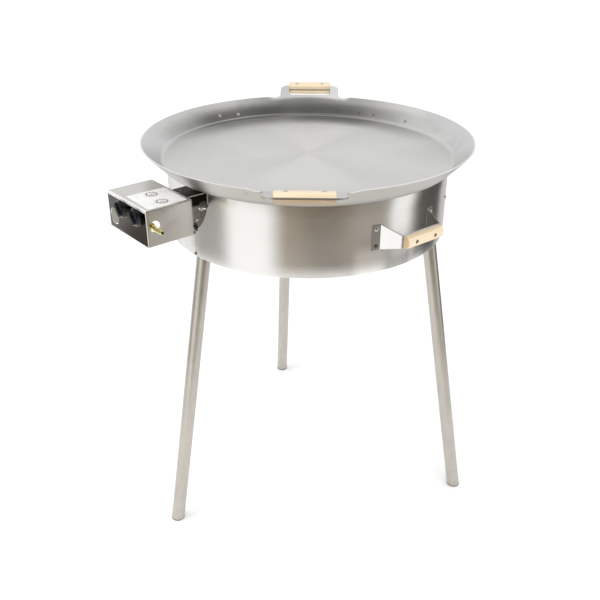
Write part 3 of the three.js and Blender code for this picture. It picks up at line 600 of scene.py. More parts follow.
def finish_drum(g):
    """Painted shade in a patch low beside the right-hand handle, and two narrow painted highlight streaks low on the
    drum.
    """
    col = g.b.inputs["Base Color"].links[0].from_socket
    ux, uy, r, z = g.polar()
    # painted shade low beside the right-hand handle
    toward = g.math("ADD", g.math("MULTIPLY", ux, math.cos(rad(354))), g.math("MULTIPLY", uy, math.sin(rad(354))))
    k = g.math("MULTIPLY", g.range(toward, 0.93, 0.985), g.range(z, 0.768, 0.705))
    col = g.mix(g.math("MULTIPLY", k, 0.58), col, (0.30, 0.29, 0.28))
    # two narrow painted highlight streaks low on the drum
    for az, wide in ((343.0, 0.988), (6.0, 0.995)):
        near = g.math("ADD", g.math("MULTIPLY", ux, math.cos(rad(az))), g.math("MULTIPLY", uy, math.sin(rad(az))))
        k = g.math("MULTIPLY", g.range(near, wide, 0.9995), g.range(z, 0.745, 0.705))
        col = g.mix(g.math("MULTIPLY", k, 0.9), col, (0.99, 0.975, 0.95))
    g.put(g.b.inputs["Base Color"], col)
    return g.mat


def finish_pan_under(g):
    """Painted shade on the underside towards the drum."""
    col = g.b.inputs["Base Color"].links[0].from_socket
    ux, uy, r, z = g.polar()
    # painted shade where the underside comes down to the drum
    near = g.range(r, 0.334, 0.309)
    col = g.mix(g.math("MULTIPLY", near, 0.72), col, (0.14, 0.132, 0.12))
    g.put(g.b.inputs["Base Color"], col)
    return g.mat


def plain_steel(name, base, rough, scale=60.0, stretch=(1, 1, 1), aniso=0.0, mottle=0.5, bump=0.12, tint=None):
    """Sheet steel or plated steel: rolled grain, mottling, slight tarnish."""
    g = Net(name)
    p = g.place()
    grain = g.noise(g.scaled(p, *stretch), scale, 4.0, 0.6)
    cloud = g.noise(p, 14.0, 3.0, 0.55, 0.5)
    f = g.math("ADD", 0.5, g.math("MULTIPLY", g.math("SUBTRACT", grain, 0.5), 0.7 * mottle + 0.15))
    f = g.math("ADD", f, g.math("MULTIPLY", g.math("SUBTRACT", cloud, 0.5), mottle), clamp=True)
    col = g.ramp(f, [(0.0, tone(base, 0.8)), (0.5, base), (1.0, tone(base, 1.13))])
    if tint:
        col = g.mix(g.range(cloud, 0.52, 0.72, 0.0, 0.5), col, tint)
    rr = g.math("ADD", rough, g.math("MULTIPLY", g.math("SUBTRACT", grain, 0.5), 0.12))
    rr = g.math("ADD", rr, g.math("MULTIPLY", g.math("SUBTRACT", cloud, 0.5), 0.10))
    g.set(Metallic=1.0)
    if aniso:
        g.set(Anisotropic=aniso)
    g.put(g.b.inputs["Base Color"], col)
    g.put(g.b.inputs["Roughness"], rr)
    g.put(g.b.inputs["Normal"], g.bump(grain, bump, 0.0002))
    return g.mat


def tube_steel(name, base=(0.52, 0.49, 0.445), rough=0.36):
    """Drawn and plated tube: long streaks, fine mill mottling, a few scuffs."""
    g = Net(name)
    p = g.place()
    streak = g.noise(g.scaled(p, 90.0, 90.0, 2.2), 1.0, 3.0, 0.55)
    mill = g.noise(g.scaled(p, 1.0, 1.0, 0.5), 120.0, 4.0, 0.65, 0.3)
    cloud = g.noise(p, 16.0, 3.0, 0.6, 0.7)
    scuff = g.noise(g.scaled(p, 40.0, 40.0, 260.0), 1.0, 2.0, 0.5, 1.2)
    f = g.math("ADD", 0.5, g.math("MULTIPLY", g.math("SUBTRACT", streak, 0.5), 0.5))
    f = g.math("ADD", f, g.math("MULTIPLY", g.math("SUBTRACT", mill, 0.5), 0.55))
    f = g.math("ADD", f, g.math("MULTIPLY", g.math("SUBTRACT", cloud, 0.5), 0.6), clamp=True)
    col = g.ramp(f, [(0.0, tone(base, 0.78)), (0.5, base), (1.0, tone(base, 1.14))])
    col = g.mix(g.range(scuff, 0.70, 0.78, 0.0, 0.35), col, (0.42, 0.40, 0.37))
    rr = g.math("ADD", rough, g.math("MULTIPLY", g.math("SUBTRACT", mill, 0.5), 0.16))
    g.set(Metallic=0.92)
    g.put(g.b.inputs["Base Color"], col)
    g.put(g.b.inputs["Roughness"], rr)
    g.put(g.b.inputs["Normal"], g.bump(g.math("ADD", mill, streak), 0.10, 0.0002))
    return g.mat


def timber(name, az, lift, pith, painted_shade=0.0):
    """Pale pine. The grain runs along the azimuth az; pith is the ring centre across it (mm)."""
    g = Net(name)
    p = g.place()
    p = g.vmath("SUBTRACT", p, (0.0, AXIS_Y * 0.001, 0.746))
    mp = g.node("ShaderNodeMapping", None, None, (0.0, lift, -rad(az)), vector_type="POINT")
    g.put(mp.inputs["Vector"], p)
    q = mp.outputs[0]                                   # x along the grain
    x, y, z = g.split(q)
    wob = g.noise(g.scaled(q, 9.0, 40.0, 40.0), 1.0, 2.0, 0.5)
    dy = g.math("SUBTRACT", y, pith[0] * 0.001)
    dz = g.math("SUBTRACT", z, pith[1] * 0.001)
    r = g.math("SQRT", g.math("ADD", g.math("MULTIPLY", dy, dy), g.math("MULTIPLY", dz, dz)))
    r = g.math("ADD", r, g.math("MULTIPLY", wob, 0.0042))
    r = g.math("ADD", r, g.math("MULTIPLY", x, 0.012))
    ring = g.math("FRACT", g.math("MULTIPLY", r, 1 / 0.0031))
    late = g.math("MULTIPLY", g.range(ring, 0.35, 0.88), g.range(ring, 1.0, 0.93))
    fibre = g.noise(g.scaled(q, 30.0, 900.0, 900.0), 1.0, 3.0, 0.6)
    long = g.noise(g.scaled(q, 6.0, 120.0, 120.0), 1.0, 3.0, 0.55)
    pores = g.noise(g.scaled(q, 60.0, 1600.0, 1600.0), 1.0, 1.0, 0.5)
    col = g.mix(g.math("MULTIPLY", late, 0.5), (0.84, 0.705, 0.52), (0.67, 0.475, 0.27))
    col = g.mix(g.range(long, 0.35, 0.75, 0.0, 0.35), col, (0.88, 0.765, 0.59))
    col = g.mix(g.range(fibre, 0.52, 0.8, 0.0, 0.26), col, (0.70, 0.53, 0.34))
    col = g.mix(g.range(pores, 0.66, 0.8, 0.0, 0.30), col, (0.50, 0.34, 0.19))
    # sawn ends are darker and more orange
    n = g.node("ShaderNodeNewGeometry").outputs["True Normal"]
    ax = (math.cos(rad(az)) * math.cos(lift), math.sin(rad(az)) * math.cos(lift), math.sin(lift))
    end = g.range(g.math("ABSOLUTE", g.vmath("DOT_PRODUCT", n, ax)), 0.55, 0.85)
    col = g.mix(g.math("MULTIPLY", end, 0.6), col, (0.55, 0.34, 0.13))
    # painted shade: darkens the whole piece, for a grip half that sits in shadow
    if painted_shade:
        col = g.mix(painted_shade, col, (0.20, 0.12, 0.08))
    rr = g.math("ADD", 0.46, g.math("MULTIPLY", fibre, 0.18))
    h = g.math("ADD", g.math("MULTIPLY", fibre, 0.7), g.math("MULTIPLY", late, 0.3))
    g.set(Specular_IOR_Level=0.4)
    g.put(g.b.inputs["Base Color"], col)
    g.put(g.b.inputs["Roughness"], rr)
    g.put(g.b.inputs["Normal"], g.bump(h, 0.25, 0.0003))
    return g.mat


def gloss_black(name, base=(0.0045, 0.0045, 0.0055), rough=0.1, level=0.35):
    """Moulded phenolic plastic: fine orange peel and handling haze."""
    g = Net(name)
    p = g.place()
    peel = g.noise(p, 900.0, 2.0, 0.5)
    haze = g.noise(p, 90.0, 3.0, 0.6, 0.5)
    col = g.ramp(haze, [(0.25, base), (0.75, tone(base, 1.9))])
    g.set(Specular_IOR_Level=level)
    g.put(g.b.inputs["Base Color"], col)
    g.put(g.b.inputs["Roughness"], g.range(haze, 0.3, 0.75, rough * 0.8, rough * 1.5, smooth=False))
    g.put(g.b.inputs["Normal"], g.bump(peel, 0.05, 0.0001))
    return g.mat


def brass(name, centre, axis):
    """Turned brass: fine lathe lines along its axis, a little tarnish."""
    g = Net(name)
    p = g.place()
    x, y, z = g.split(p)
    along = {"X": x, "Y": y, "Z": z}[axis]
    lines = g.noise(g.join(g.math("MULTIPLY", along, 2600.0), 0.0, 0.0), 1.0, 2.0, 0.5)
    spot = g.noise(p, 130.0, 3.0, 0.6, 0.4)
    col = g.ramp(spot, [(0.2, (0.62, 0.47, 0.13)), (0.5, (0.90, 0.76, 0.34)), (0.8, (0.97, 0.86, 0.48))])
    g.set(Metallic=1.0)
    g.put(g.b.inputs["Base Color"], col)
    g.put(g.b.inputs["Roughness"], g.range(spot, 0.3, 0.75, 0.16, 0.34, smooth=False))
    g.put(g.b.inputs["Normal"], g.bump(lines, 0.12, 0.0001))
    return g.mat


def dull_plastic(name, base=(0.20, 0.19, 0.175)):
    g = Net(name)
    p = g.place()
    a = g.noise(p, 220.0, 3.0, 0.6)
    b = g.noise(p, 30.0, 3.0, 0.6, 0.5)
    col = g.ramp(g.math("MULTIPLY", g.math("ADD", a, b), 0.5), [(0.3, tone(base, 0.7)), (0.55, base), (0.75, tone(base, 1.5))])
    g.put(g.b.inputs["Base Color"], col)
    g.put(g.b.inputs["Roughness"], g.range(a, 0.3, 0.7, 0.5, 0.75, smooth=False))
    g.put(g.b.inputs["Normal"], g.bump(a, 0.2, 0.0002))
    return g.mat


def painted_fold_highlight(name):
    """Painted highlight along folded edges: a near-white, rough, barely metallic sheet."""
    g = Net(name)
    p = g.place()
    a = g.noise(p, 300.0, 3.0, 0.6)
    g.set(Metallic=0.25)
    g.put(g.b.inputs["Base Color"], g.ramp(a, [(0.25, (0.74, 0.73, 0.71)), (0.75, (0.93, 0.925, 0.905))]))
    g.put(g.b.inputs["Roughness"], g.range(a, 0.3, 0.75, 0.3, 0.45, smooth=False))
    g.put(g.b.inputs["Normal"], g.bump(a, 0.1, 0.0002))
    return g.mat


def painted_hem_highlight(mat):
    """Painted highlight: the front sheet turns near-white and less metallic along its top edge, around the groove."""
    t = mat.node_tree
    b = next(n for n in t.nodes if n.type == "BSDF_PRINCIPLED")
    col = b.inputs["Base Color"].links[0].from_socket
    tc, sp = t.nodes.new("ShaderNodeTexCoord"), t.nodes.new("ShaderNodeSeparateXYZ")
    t.links.new(tc.outputs["Object"], sp.inputs[0])
    rng = t.nodes.new("ShaderNodeMapRange")
    rng.inputs[1].default_value, rng.inputs[2].default_value = (HEM_Z - 1.9) * 0.001, (HEM_Z - 1.6) * 0.001
    t.links.new(sp.outputs[2], rng.inputs[0])
    mx = t.nodes.new("ShaderNodeMix")
    mx.data_type = "RGBA"
    t.links.new(rng.outputs[0], mx.inputs[0])
    t.links.new(col, mx.inputs[6])
    mx.inputs[7].default_value = (0.88, 0.875, 0.86, 1.0)
    t.links.new(mx.outputs[2], b.inputs["Base Color"])
    inv = t.nodes.new("ShaderNodeMath")
    inv.operation = "SUBTRACT"
    inv.inputs[0].default_value = 1.0
    half = t.nodes.new("ShaderNodeMath")
    half.operation = "MULTIPLY"
    half.inputs[1].default_value = 0.7
    t.links.new(rng.outputs[0], half.inputs[0])
    t.links.new(half.outputs[0], inv.inputs[1])
    t.links.new(inv.outputs[0], b.inputs["Metallic"])
    return mat


def bridge_steel(name):
    """Bridge sheet: painted shade, near black with specks, along the top, on the upper part of the side and on the far
    side; bare steel below; a painted highlight strip at the drum and a painted shadow line where the top meets the box.
    """
    g = Net(name)
    p = g.place()
    x, y, z = g.split(p)
    grain = g.noise(g.scaled(p, 60.0, 700.0, 60.0), 1.0, 4.0, 0.6)
    speck = g.noise(p, 520.0, 3.0, 0.7)
    cloud = g.noise(p, 40.0, 3.0, 0.6, 0.6)
    bare = g.ramp(g.math("ADD", g.math("MULTIPLY", grain, 0.5), g.math("MULTIPLY", cloud, 0.5)), [(0.3, (0.26, 0.25, 0.23)), (0.5, (0.36, 0.35, 0.325)), (0.75, (0.46, 0.45, 0.42))])
    dark = g.ramp(speck, [(0.40, (0.010, 0.009, 0.008)), (0.62, (0.022, 0.020, 0.018)), (0.74, (0.15, 0.14, 0.125))])
    # painted shade on the top and the upper part of the side
    edge = g.math("ADD", z, g.math("MULTIPLY", g.math("SUBTRACT", cloud, 0.5), 0.004))
    col = g.mix(g.range(edge, 0.7985, 0.8015), bare, dark)
    # painted shade on the far side sheet
    col = g.mix(g.range(x, 0.0035, 0.0025), col, dark)
    # painted highlight strip where the side meets the drum
    end = (AXIS_Y - 306.4) * 0.001
    strip = g.math("MULTIPLY", g.range(y, end, end + 0.0008), g.range(z, 0.7955, 0.7975))
    col = g.mix(strip, col, (0.92, 0.91, 0.88))
    # painted shadow line where the top meets the box
    start = (AXIS_Y - 343.2) * 0.001
    painted_shade = g.math("MULTIPLY", g.range(y, start + 0.0008, start), g.range(z, 0.8195, 0.8185))
    col = g.mix(painted_shade, col, (0.02, 0.019, 0.018))
    g.set(Metallic=1.0)
    g.put(g.b.inputs["Base Color"], col)
    g.put(g.b.inputs["Roughness"], g.range(grain, 0.3, 0.75, 0.2, 0.34, smooth=False))
    g.put(g.b.inputs["Normal"], g.bump(grain, 0.12, 0.0002))
    return g.mat


def burnt_steel(name):
    """Heat-darkened steel with scale and straw-blue tempering."""
    g = Net(name)
    p = g.place()
    a = g.noise(p, 45.0, 4.0, 0.6, 0.6)
    b = g.noise(p, 240.0, 3.0, 0.6)
    col = g.ramp(a, [(0.2, (0.035, 0.032, 0.030)), (0.5, (0.11, 0.10, 0.095)), (0.68, (0.20, 0.165, 0.135)), (0.85, (0.12, 0.13, 0.16))])
    g.set(Metallic=0.75)
    g.put(g.b.inputs["Base Color"], col)
    g.put(g.b.inputs["Roughness"], g.range(b, 0.3, 0.75, 0.42, 0.68, smooth=False))
    g.put(g.b.inputs["Normal"], g.bump(g.math("ADD", a, g.math("MULTIPLY", b, 0.6)), 0.3, 0.0004))
    return g.mat


# marks at the foot of the pan wall: azimuth, radius (mm), size (mm), dark
PRESS_MARKS = [
    (180.5, 332.0, 7.0, False), (171.5, 329.0, 7.0, False), (154.0, 330.0, 7.0, True),
    (126.0, 328.0, 6.0, True), (116.0, 328.0, 8.0, True), (109.0, 328.0, 8.0, True), (92.5, 328.0, 8.0, True),
]

PAN_BASE = (0.70, 0.695, 0.685)
M_FLOOR = finish_pan_floor(turned_steel("pan_floor_steel", PAN_BASE, 0.30, lines=420.0, aniso=0.55, fans=0.10))
M_WALL = finish_pan_wall(turned_steel("pan_wall_steel", (0.68, 0.68, 0.675), 0.30, lines=300.0, aniso=0.35, fans=0.12))
M_UNDER = finish_pan_under(turned_steel("pan_underside_steel", (0.56, 0.545, 0.515), 0.46, lines=260.0, aniso=0.3, fans=0.16))
# near-white copy of the pan steel on the rim edge: painted highlight along the rim
M_LIP_HIGHLIGHT = plain_steel("pan_lip_painted_highlight", (0.93, 0.925, 0.90), 0.22, scale=420.0, mottle=0.25, bump=0.08)
M_DRUM = finish_drum(turned_steel("drum_sheet_steel", (0.74, 0.73, 0.71), 0.24, lines=700.0, aniso=0.72, fans=0.03))
M_DRUM_IN = turned_steel("drum_inside_steel", (0.46, 0.44, 0.41), 0.38, lines=500.0, aniso=0.4, fans=0.12).mat
M_LEG = tube_steel("leg_tube_steel")
M_BRIGHT = plain_steel("bracket_steel", (0.80, 0.79, 0.765), 0.27, scale=1.0, stretch=(60, 60, 900), mottle=0.4)
# dark copy of the bracket steel on the farther side plates: painted shade
M_PLATE_SHADE = plain_steel("bracket_plate_painted_shade", (0.20, 0.195, 0.175), 0.34, scale=1.0, stretch=(60, 60, 900), mottle=0.2, bump=0.04)
M_FLANGE = plain_steel("bracket_flange_steel", (0.40, 0.395, 0.365), 0.34, scale=1.0, stretch=(60, 60, 900), mottle=0.5)
M_BOX = plain_steel("box_sheet_steel", (0.70, 0.685, 0.65), 0.30, scale=1.0, stretch=(700, 60, 60), mottle=0.16, bump=0.03)
# near-black copy of the box steel on the front face: painted dark reflection, with the painted hem highlight
M_BOX_FRONT_SHADE_AND_HIGHLIGHT = painted_hem_highlight(plain_steel("box_front_painted_dark_reflection_and_hem_highlight", (0.085, 0.072, 0.064), 0.12, scale=1.0, stretch=(60, 60, 900), mottle=0.45, tint=(0.12, 0.085, 0.07)))
M_FOLD_HIGHLIGHT = painted_fold_highlight("fold_line_painted_highlight")
M_BOX_IN = plain_steel("box_inside_steel", (0.55, 0.54, 0.52), 0.32, scale=1.0, stretch=(700, 60, 60), mottle=0.45)
M_CHAN = bridge_steel("bridge_steel_painted_shade_and_highlight")
M_SCREW = plain_steel("plated_fastener", (0.66, 0.65, 0.63), 0.28, scale=700.0, mottle=0.5)
M_DARK = plain_steel("dark_fastener", (0.16, 0.155, 0.15), 0.36, scale=700.0, mottle=0.6)
M_SOCKET = plain_steel("socket_steel", (0.30, 0.29, 0.28), 0.42, scale=180.0, mottle=0.7)
M_BURNER = burnt_steel("burner_steel_heat")
M_BLACK = gloss_black("knob_black_gloss")
# light grey plastic on knob edges and rims: painted highlight lines
M_KNOB_HIGHLIGHT = gloss_black("knob_edge_painted_highlight", (0.36, 0.37, 0.38), 0.2, 0.8)
M_BRASS = brass("brass_turned", (0, 0), "X")
M_BRASS_Y = brass("brass_turned_y", (0, 0), "Y")
M_FOOT = dull_plastic("foot_plug_plastic")
# near-black plastic in narrow recesses: painted shade
M_RECESS_SHADE = dull_plastic("recess_painted_shade", (0.025, 0.022, 0.018))
M_WOOD = {
    "front": timber("pine_front", EAR_AZ["front"] + 90.0, 0.0, (-6.0, 152.0)),
    # the lower front grip half carries painted shade
    "front_lower": timber("pine_front_lower_painted_shade", EAR_AZ["front"] + 90.0, 0.0, (-6.0, 152.0), 0.62),
    "rear": timber("pine_rear", EAR_AZ["rear"] + 90.0, 0.0, (10.0, 95.0)),
    "right": timber("pine_right", HANDLE_TURN + 90.0, 0.0, (-372.0, 30.0)),
    "left": timber("pine_left", HANDLE_TURN + 90.0, 0.0, (340.0, -24.0)),
}


# ------------------------------------------------------------------------- pan
def wall_z(r):
    """Height of the cooking surface at radius r, without the ears."""
    half = math.atan(WALL_SLOPE) / 2
    rc = PAN_BEND_R - math.tan(half) * PAN_BEND
    re = PAN_BEND_R + math.tan(half) * PAN_BEND * math.cos(2 * half)
    if r <= rc:
        return PAN_FLOOR_Z
    if r < re:
        return PAN_FLOOR_Z + PAN_BEND - math.sqrt(max(0.0, PAN_BEND**2 - (r - rc) ** 2))
    return PAN_FLOOR_Z + (r - PAN_BEND_R) * WALL_SLOPE


def ear_z(u):
    return PAN_RIM_Z + EAR_SLOPE * (u - 360.0)


def pan_height(u, v):
    """Height of the sheet's upper face near an ear; u points out along the ear."""
    r = math.hypot(u, v)
    zw = wall_z(r)
    th = abs(math.degrees(math.atan2(v, u)))
    w = max(0.0, min(1.0, (17.2 - th) / 3.4))
    w = w * w * (3 - 2 * w)
    if w <= 0 or u < 300:
        return zw
    ze = ear_z(u)
    k = 3.4
    h = max(k - abs(zw - ze), 0.0) / k
    low = min(zw, ze) - h * h * k * 0.25
    return zw + (low - zw) * w


def build_pan():
    s = Shape()
    N = 360
    zone = 18                                    # degrees each side of an ear
    inner = [0, 22, 60, 100, 140, 180, 215, 245, 268, 285, 297, 305, 309.5, 312.2, 313.6, 314.6, 315.6, 316.6, 317.6, 318.6, 319.6, 320.6, 322, 325, 329, 334, 339.5, 345]
    outer = [345, 350, 354, 356.8]
    a0 = EAR_AZ["front"]
    top, low = {}, {}

    def add_vertex(key, x, y, z, n, xb=None, yb=None, zb=None):
        top[key] = s.v(x, y, z)
        if xb is None:
            xb, yb, zb = x - n[0] * PAN_T, y - n[1] * PAN_T, z - n[2] * PAN_T
        low[key] = s.v(xb, yb, zb)

    def ring_normal(r):
        e = 0.05
        d = (wall_z(r + e) - wall_z(max(0, r - e))) / (2 * e if r > e else e + r + 1e-9)
        if r < 1:
            d = 0
        L = math.hypot(d, 1)
        return -d / L, 1 / L

    # the turned part
    for k, r in enumerate(inner):
        nr, nz = ring_normal(r)
        for i in range(N):
            if k == 0 and i:
                top[(k, i)], low[(k, i)] = top[(0, 0)], low[(0, 0)]
                continue
            t = rad(a0 + i)
            c, sn = math.cos(t), math.sin(t)
            add_vertex((k, i), r * c, r * sn, wall_z(r), (nr * c, nr * sn, nz))
    K = len(inner) - 1
    near_ear = lambda i: min(i % 180, 180 - i % 180) < zone
    for k, r in enumerate(outer[1:], 1):
        nr, nz = ring_normal(r)
        for i in range(N):
            if near_ear(i):
                continue
            t = rad(a0 + i)
            c, sn = math.cos(t), math.sin(t)
            if r == outer[-1]:
                add_vertex((K + k, i), r * c, r * sn, PAN_RIM_Z, None, PAN_RIM_R * c, PAN_RIM_R * sn, PAN_RIM_Z - 0.5)
            else:
                add_vertex((K + k, i), r * c, r * sn, wall_z(r), (nr * c, nr * sn, nz))

    def both(keys, mt, ml):
        s.f([top[q] for q in keys], mt)
        s.f([low[q] for q in reversed(keys)], ml)

    for k in range(K):
        mt = 0 if inner[k + 1] <= 314.0 else 1
        for i in range(N):
            j = (i + 1) % N
            both([(k, i), (k + 1, i), (k + 1, j), (k, j)] if k else [(0, 0), (1, i), (1, j)], mt, 2)
    for k in range(len(outer) - 1):
        for i in range(N):
            j = (i + 1) % N
            if near_ear(i) or near_ear(j):
                continue
            both([(K + k, i), (K + k + 1, i), (K + k + 1, j), (K + k, j)], 1, 2)
            if k == len(outer) - 2:
                s.f([top[(K + k + 1, i)], low[(K + k + 1, i)], low[(K + k + 1, j)], top[(K + k + 1, j)]], 3)

    # the two ears
    R = 16.0
    uc = math.sqrt((360 + R) ** 2 - (EAR_HALF + R) ** 2)
    th0 = math.atan2(EAR_HALF + R, uc)
    side = []                                     # outer outline from the rim to the ear's tip, v > 0
    rim_angles = [rad(a) for a in (18, 17, 16, 15)] + [th0]
    for t in rim_angles:
        side.append((360 * math.cos(t), 360 * math.sin(t), 0.0))
    a_start = math.atan2(-(EAR_HALF + R), -uc)    # from the fillet centre to the rim tangent
    a_end = -math.pi / 2
    steps = 7
    for i in range(1, steps + 1):
        t = a_start + (a_end - a_start) * i / steps
        side.append((uc + R * math.cos(t), EAR_HALF + R + R * math.sin(t), i / steps))
    for u in (372, 380, 390):
        side.append((u, EAR_HALF, 1.0))
    for i in range(0, 9):
        t = rad(90 - 90 * i / 8)
        side.append((EAR_END - 22 + 22 * math.cos(t), EAR_HALF - 22 + 22 * math.sin(t), 1.0))
    for v in (40, 27, 13):
        side.append((EAR_END, v, 1.0))
    outline = side + [(u, -v, w) for u, v, w in [(EAR_END, 0.0, 1.0)] + side[::-1]]
    # inward normals of the outline give the upper edge, set back by the lip
    edge = []
    for i, (u, v, w) in enumerate(outline):
        pu, pv = outline[max(i - 1, 0)][:2]
        nu, nv = outline[min(i + 1, len(outline) - 1)][:2]
        t = Vector((nu - pu, nv - pv)).normalized()
        n = Vector((t.y, -t.x))                   # pointing inwards for this direction of travel
        if (Vector((u, v)) + n * 0.5 - Vector((370, 0))).length > (Vector((u, v)) - Vector((370, 0))).length:
            n = -n
        d = 3.2 * (1 - w) ** 1.5 + 0.15
        if i in (0, len(outline) - 1):
            q = Vector((356.8 * math.cos(rad(18)), 356.8 * math.sin(rad(18)) * (1 if v > 0 else -1)))
        elif w == 0.0:
            q = Vector((u, v)) * (356.8 / 360)
        else:
            q = Vector((u, v)) + n * d
        edge.append((q.x, q.y))
    left = [(r * math.cos(rad(-18)), r * math.sin(rad(-18))) for r in (354, 350)]
    arc = [(345 * math.cos(rad(a)), 345 * math.sin(rad(a))) for a in range(-18, 19)]
    right = [(r * math.cos(rad(18)), r * math.sin(rad(18))) for r in (350, 354)]
    loop = edge + left + arc + right
    s0, s1, sh = 364.5, EAR_END - 22.5, 53.5
    slot = rounded([(s0, -sh), (s1, -sh), (s1, sh), (s0, sh)], 10, 6)
    slot = [p for i, p in enumerate(slot) if math.dist(p, slot[i - 1]) > 0.01]
    extra = []
    for r, step in ((347.5, 1.0), (350, 1.0), (351.6, 0.8), (352.8, 0.8), (353.8, 0.7), (354.8, 0.7), (355.8, 0.7), (357, 0.8), (358.4, 0.9), (360.2, 1.0), (362.2, 1.2)):
        a = -17.4
        while a <= 17.4:
            extra.append((r * math.cos(rad(a)), r * math.sin(rad(a))))
            a += step
    for u in (366, 372, 379, 386, 393, 400, 406, 412):
        v = -72.0
        while v <= 72.0:
            extra.append((u, v))
            v += 6.0

    def far(p, poly, d):
        q = Vector(p)
        for i in range(len(poly)):
            a, b = Vector(poly[i - 1]), Vector(poly[i])
            ab = b - a
            t = max(0, min(1, (q - a).dot(ab) / max(ab.length_squared, 1e-9)))
            if (a + ab * t - q).length < d:
                return False
        return True

    extra = [p for p in extra if inside(p, loop) and not inside(p, slot) and far(p, loop, 1.2) and far(p, slot, 1.2)]
    pts, faces, where = triangles(loop, [slot], extra)
    edge_of = {where[i]: i for i in range(len(edge))}
    slot_of = {where[len(loop) + i]: i for i in range(len(slot))}
    for az in EAR_AZ.values():
        T = turn_z(az)
        tv, lv = [], []
        for i, (u, v) in enumerate(pts):
            z = pan_height(u, v)
            e = 0.4
            dx = (pan_height(u + e, v) - pan_height(u - e, v)) / (2 * e)
            dy = (pan_height(u, v + e) - pan_height(u, v - e)) / (2 * e)
            n = Vector((-dx, -dy, 1)).normalized()
            q = Vector((u, v, z)) - n * PAN_T
            if i in edge_of:
                ou, ov, w = outline[edge_of[i]]
                zr = PAN_RIM_Z - 0.5
                ze = pan_height(ou, ov) - PAN_T
                if w == 0.0:
                    z = pan_height(u, v) if abs(math.degrees(math.atan2(v, u))) < 17.9 else PAN_RIM_Z
                k = w * w * (3 - 2 * w)
                drop = pan_height(u, v) - PAN_RIM_Z if w < 1 else 0.0
                q = Vector((ou, ov, (zr + min(0.0, drop)) * (1 - k) + ze * k))
            elif i in slot_of:
                q = Vector((u, v, z - PAN_T))
            a, b = T @ Vector((u, v, z)), T @ q
            tv.append(s.v(*a))
            lv.append(s.v(*b))
        for f in faces:
            cu = sum(pts[i][0] for i in f) / 3
            cv = sum(pts[i][1] for i in f) / 3
            a, b = pts[f[0]], pts[f[1]]
            c = pts[f[2]]
            if (b[0] - a[0]) * (c[1] - a[1]) - (b[1] - a[1]) * (c[0] - a[0]) < 0:
                f = f[::-1]
            s.f([tv[i] for i in f], 1)
            s.f([lv[i] for i in reversed(f)], 2)
        for i in range(len(edge) - 1):
            a, b = where[i], where[i + 1]
            s.f([tv[a], tv[b], lv[b], lv[a]], 3 if outline[i][2] < 0.5 else 4)
        for i in range(len(slot)):
            a, b = where[len(loop) + i], where[len(loop) + (i + 1) % len(slot)]
            s.f([tv[b], tv[a], lv[a], lv[b]], 4)
    o = raw("pan_sheet", s, [M_FLOOR, M_WALL, M_UNDER, M_LIP_HIGHLIGHT, M_UNDER])
    finish_piece(o, "pan", ["pan_dish"], "pan_steel", bevel=0.55, seg=2, angle=50, sharp=32)


build_pan()


def ear_point(az, u, v, z):
    """Point on an ear: u outwards, v sideways, z before the slope is added."""
    return turn_z(az) @ Vector((u, v, z + EAR_SLOPE * (u - 360.0)))


def ear_matrix(az):
    shear = Matrix(((1, 0, 0, 0), (0, 1, 0, 0), (EAR_SLOPE, 0, 1, -EAR_SLOPE * 360.0), (0, 0, 0, 1)))
    return turn_z(az) @ shear


for which, az in EAR_AZ.items():
    for side in ("upper", "lower"):
        s = Shape()
        z0 = PAN_RIM_Z + GAP if side == "upper" else PAN_RIM_Z - PAN_T - GAP - GRIP_H
        z1 = z0 + GRIP_H
        w = GRIP_W / 2
        corners = [(GRIP_R - w, z0), (GRIP_R + w, z0), (GRIP_R + w, z1), (GRIP_R - w, z1)]
        r_out, r_in = 4.6, 0.5
        radii = [r_in, r_in, r_out, r_out] if side == "upper" else [r_out, r_out, r_in, r_in]
        sec = rounded(corners, radii, 6)
        stations = [(-54.0, 1.5), (-53.6, 0.75), (-52.8, 0.2), (-51.6, 0.0), (-30, 0.0), (0, 0.0), (30, 0.0), (51.6, 0.0), (52.8, 0.2), (53.6, 0.75), (54.0, 1.5)]
        rings = []
        cx, cz = GRIP_R, (z0 + z1) / 2
        for v, inset in stations:
            ring = []
            for u, z in sec:
                fu = (w - inset) / w
                fz = (GRIP_H / 2 - inset) / (GRIP_H / 2)
                # the halves stay flat where they meet the ear
                zz = cz + (z - cz) * fz
                if side == "upper" and z < z0 + 0.6:
                    zz = z + inset * 0.25
                if side == "lower" and z > z1 - 0.6:
                    zz = z - inset * 0.25
                ring.append(s.v(*ear_point(az, cx + (u - cx) * fu, v, zz)))
            rings.append(ring)
        m = len(sec)
        for a, b in zip(rings, rings[1:]):
            for i in range(m):
                s.f([a[i], a[(i + 1) % m], b[(i + 1) % m], b[i]])
        s.f(rings[0][::-1])
        s.f(rings[-1])
        piece(f"pan_grip_wood_{which}_{side}", s, M_WOOD.get(f"{which}_{side}", M_WOOD[which]), "pan", [f"pan_grip_{which}_{side}"], "wood", sharp=50)
    for tag, v in (("a", -33.0), ("b", 33.0)):
        s = Shape()
        s.M = ear_matrix(az) @ Matrix.Translation((GRIP_R, v, 0))
        zb, zt = PAN_RIM_Z - PAN_T - GAP - GRIP_H - GAP, PAN_RIM_Z + GAP + GRIP_H + GAP
        prof = [(0, zb - 1.25), (1.2, zb - 1.22), (2.4, zb - 1.02), (3.4, zb - 0.62), (4.1, zb - 0.12), (4.2, zb), (2.3, zb), (2.3, zt), (4.2, zt), (4.1, zt + 0.12), (3.4, zt + 0.62), (2.4, zt + 1.02), (1.2, zt + 1.22), (0, zt + 1.25)]
        lathe(s, prof, 24)
        piece(f"pan_rivet_dome_{which}_{tag}", s, M_SCREW, "pan", [f"pan_rivet_{which}_{tag}"], "fastener", sharp=50)


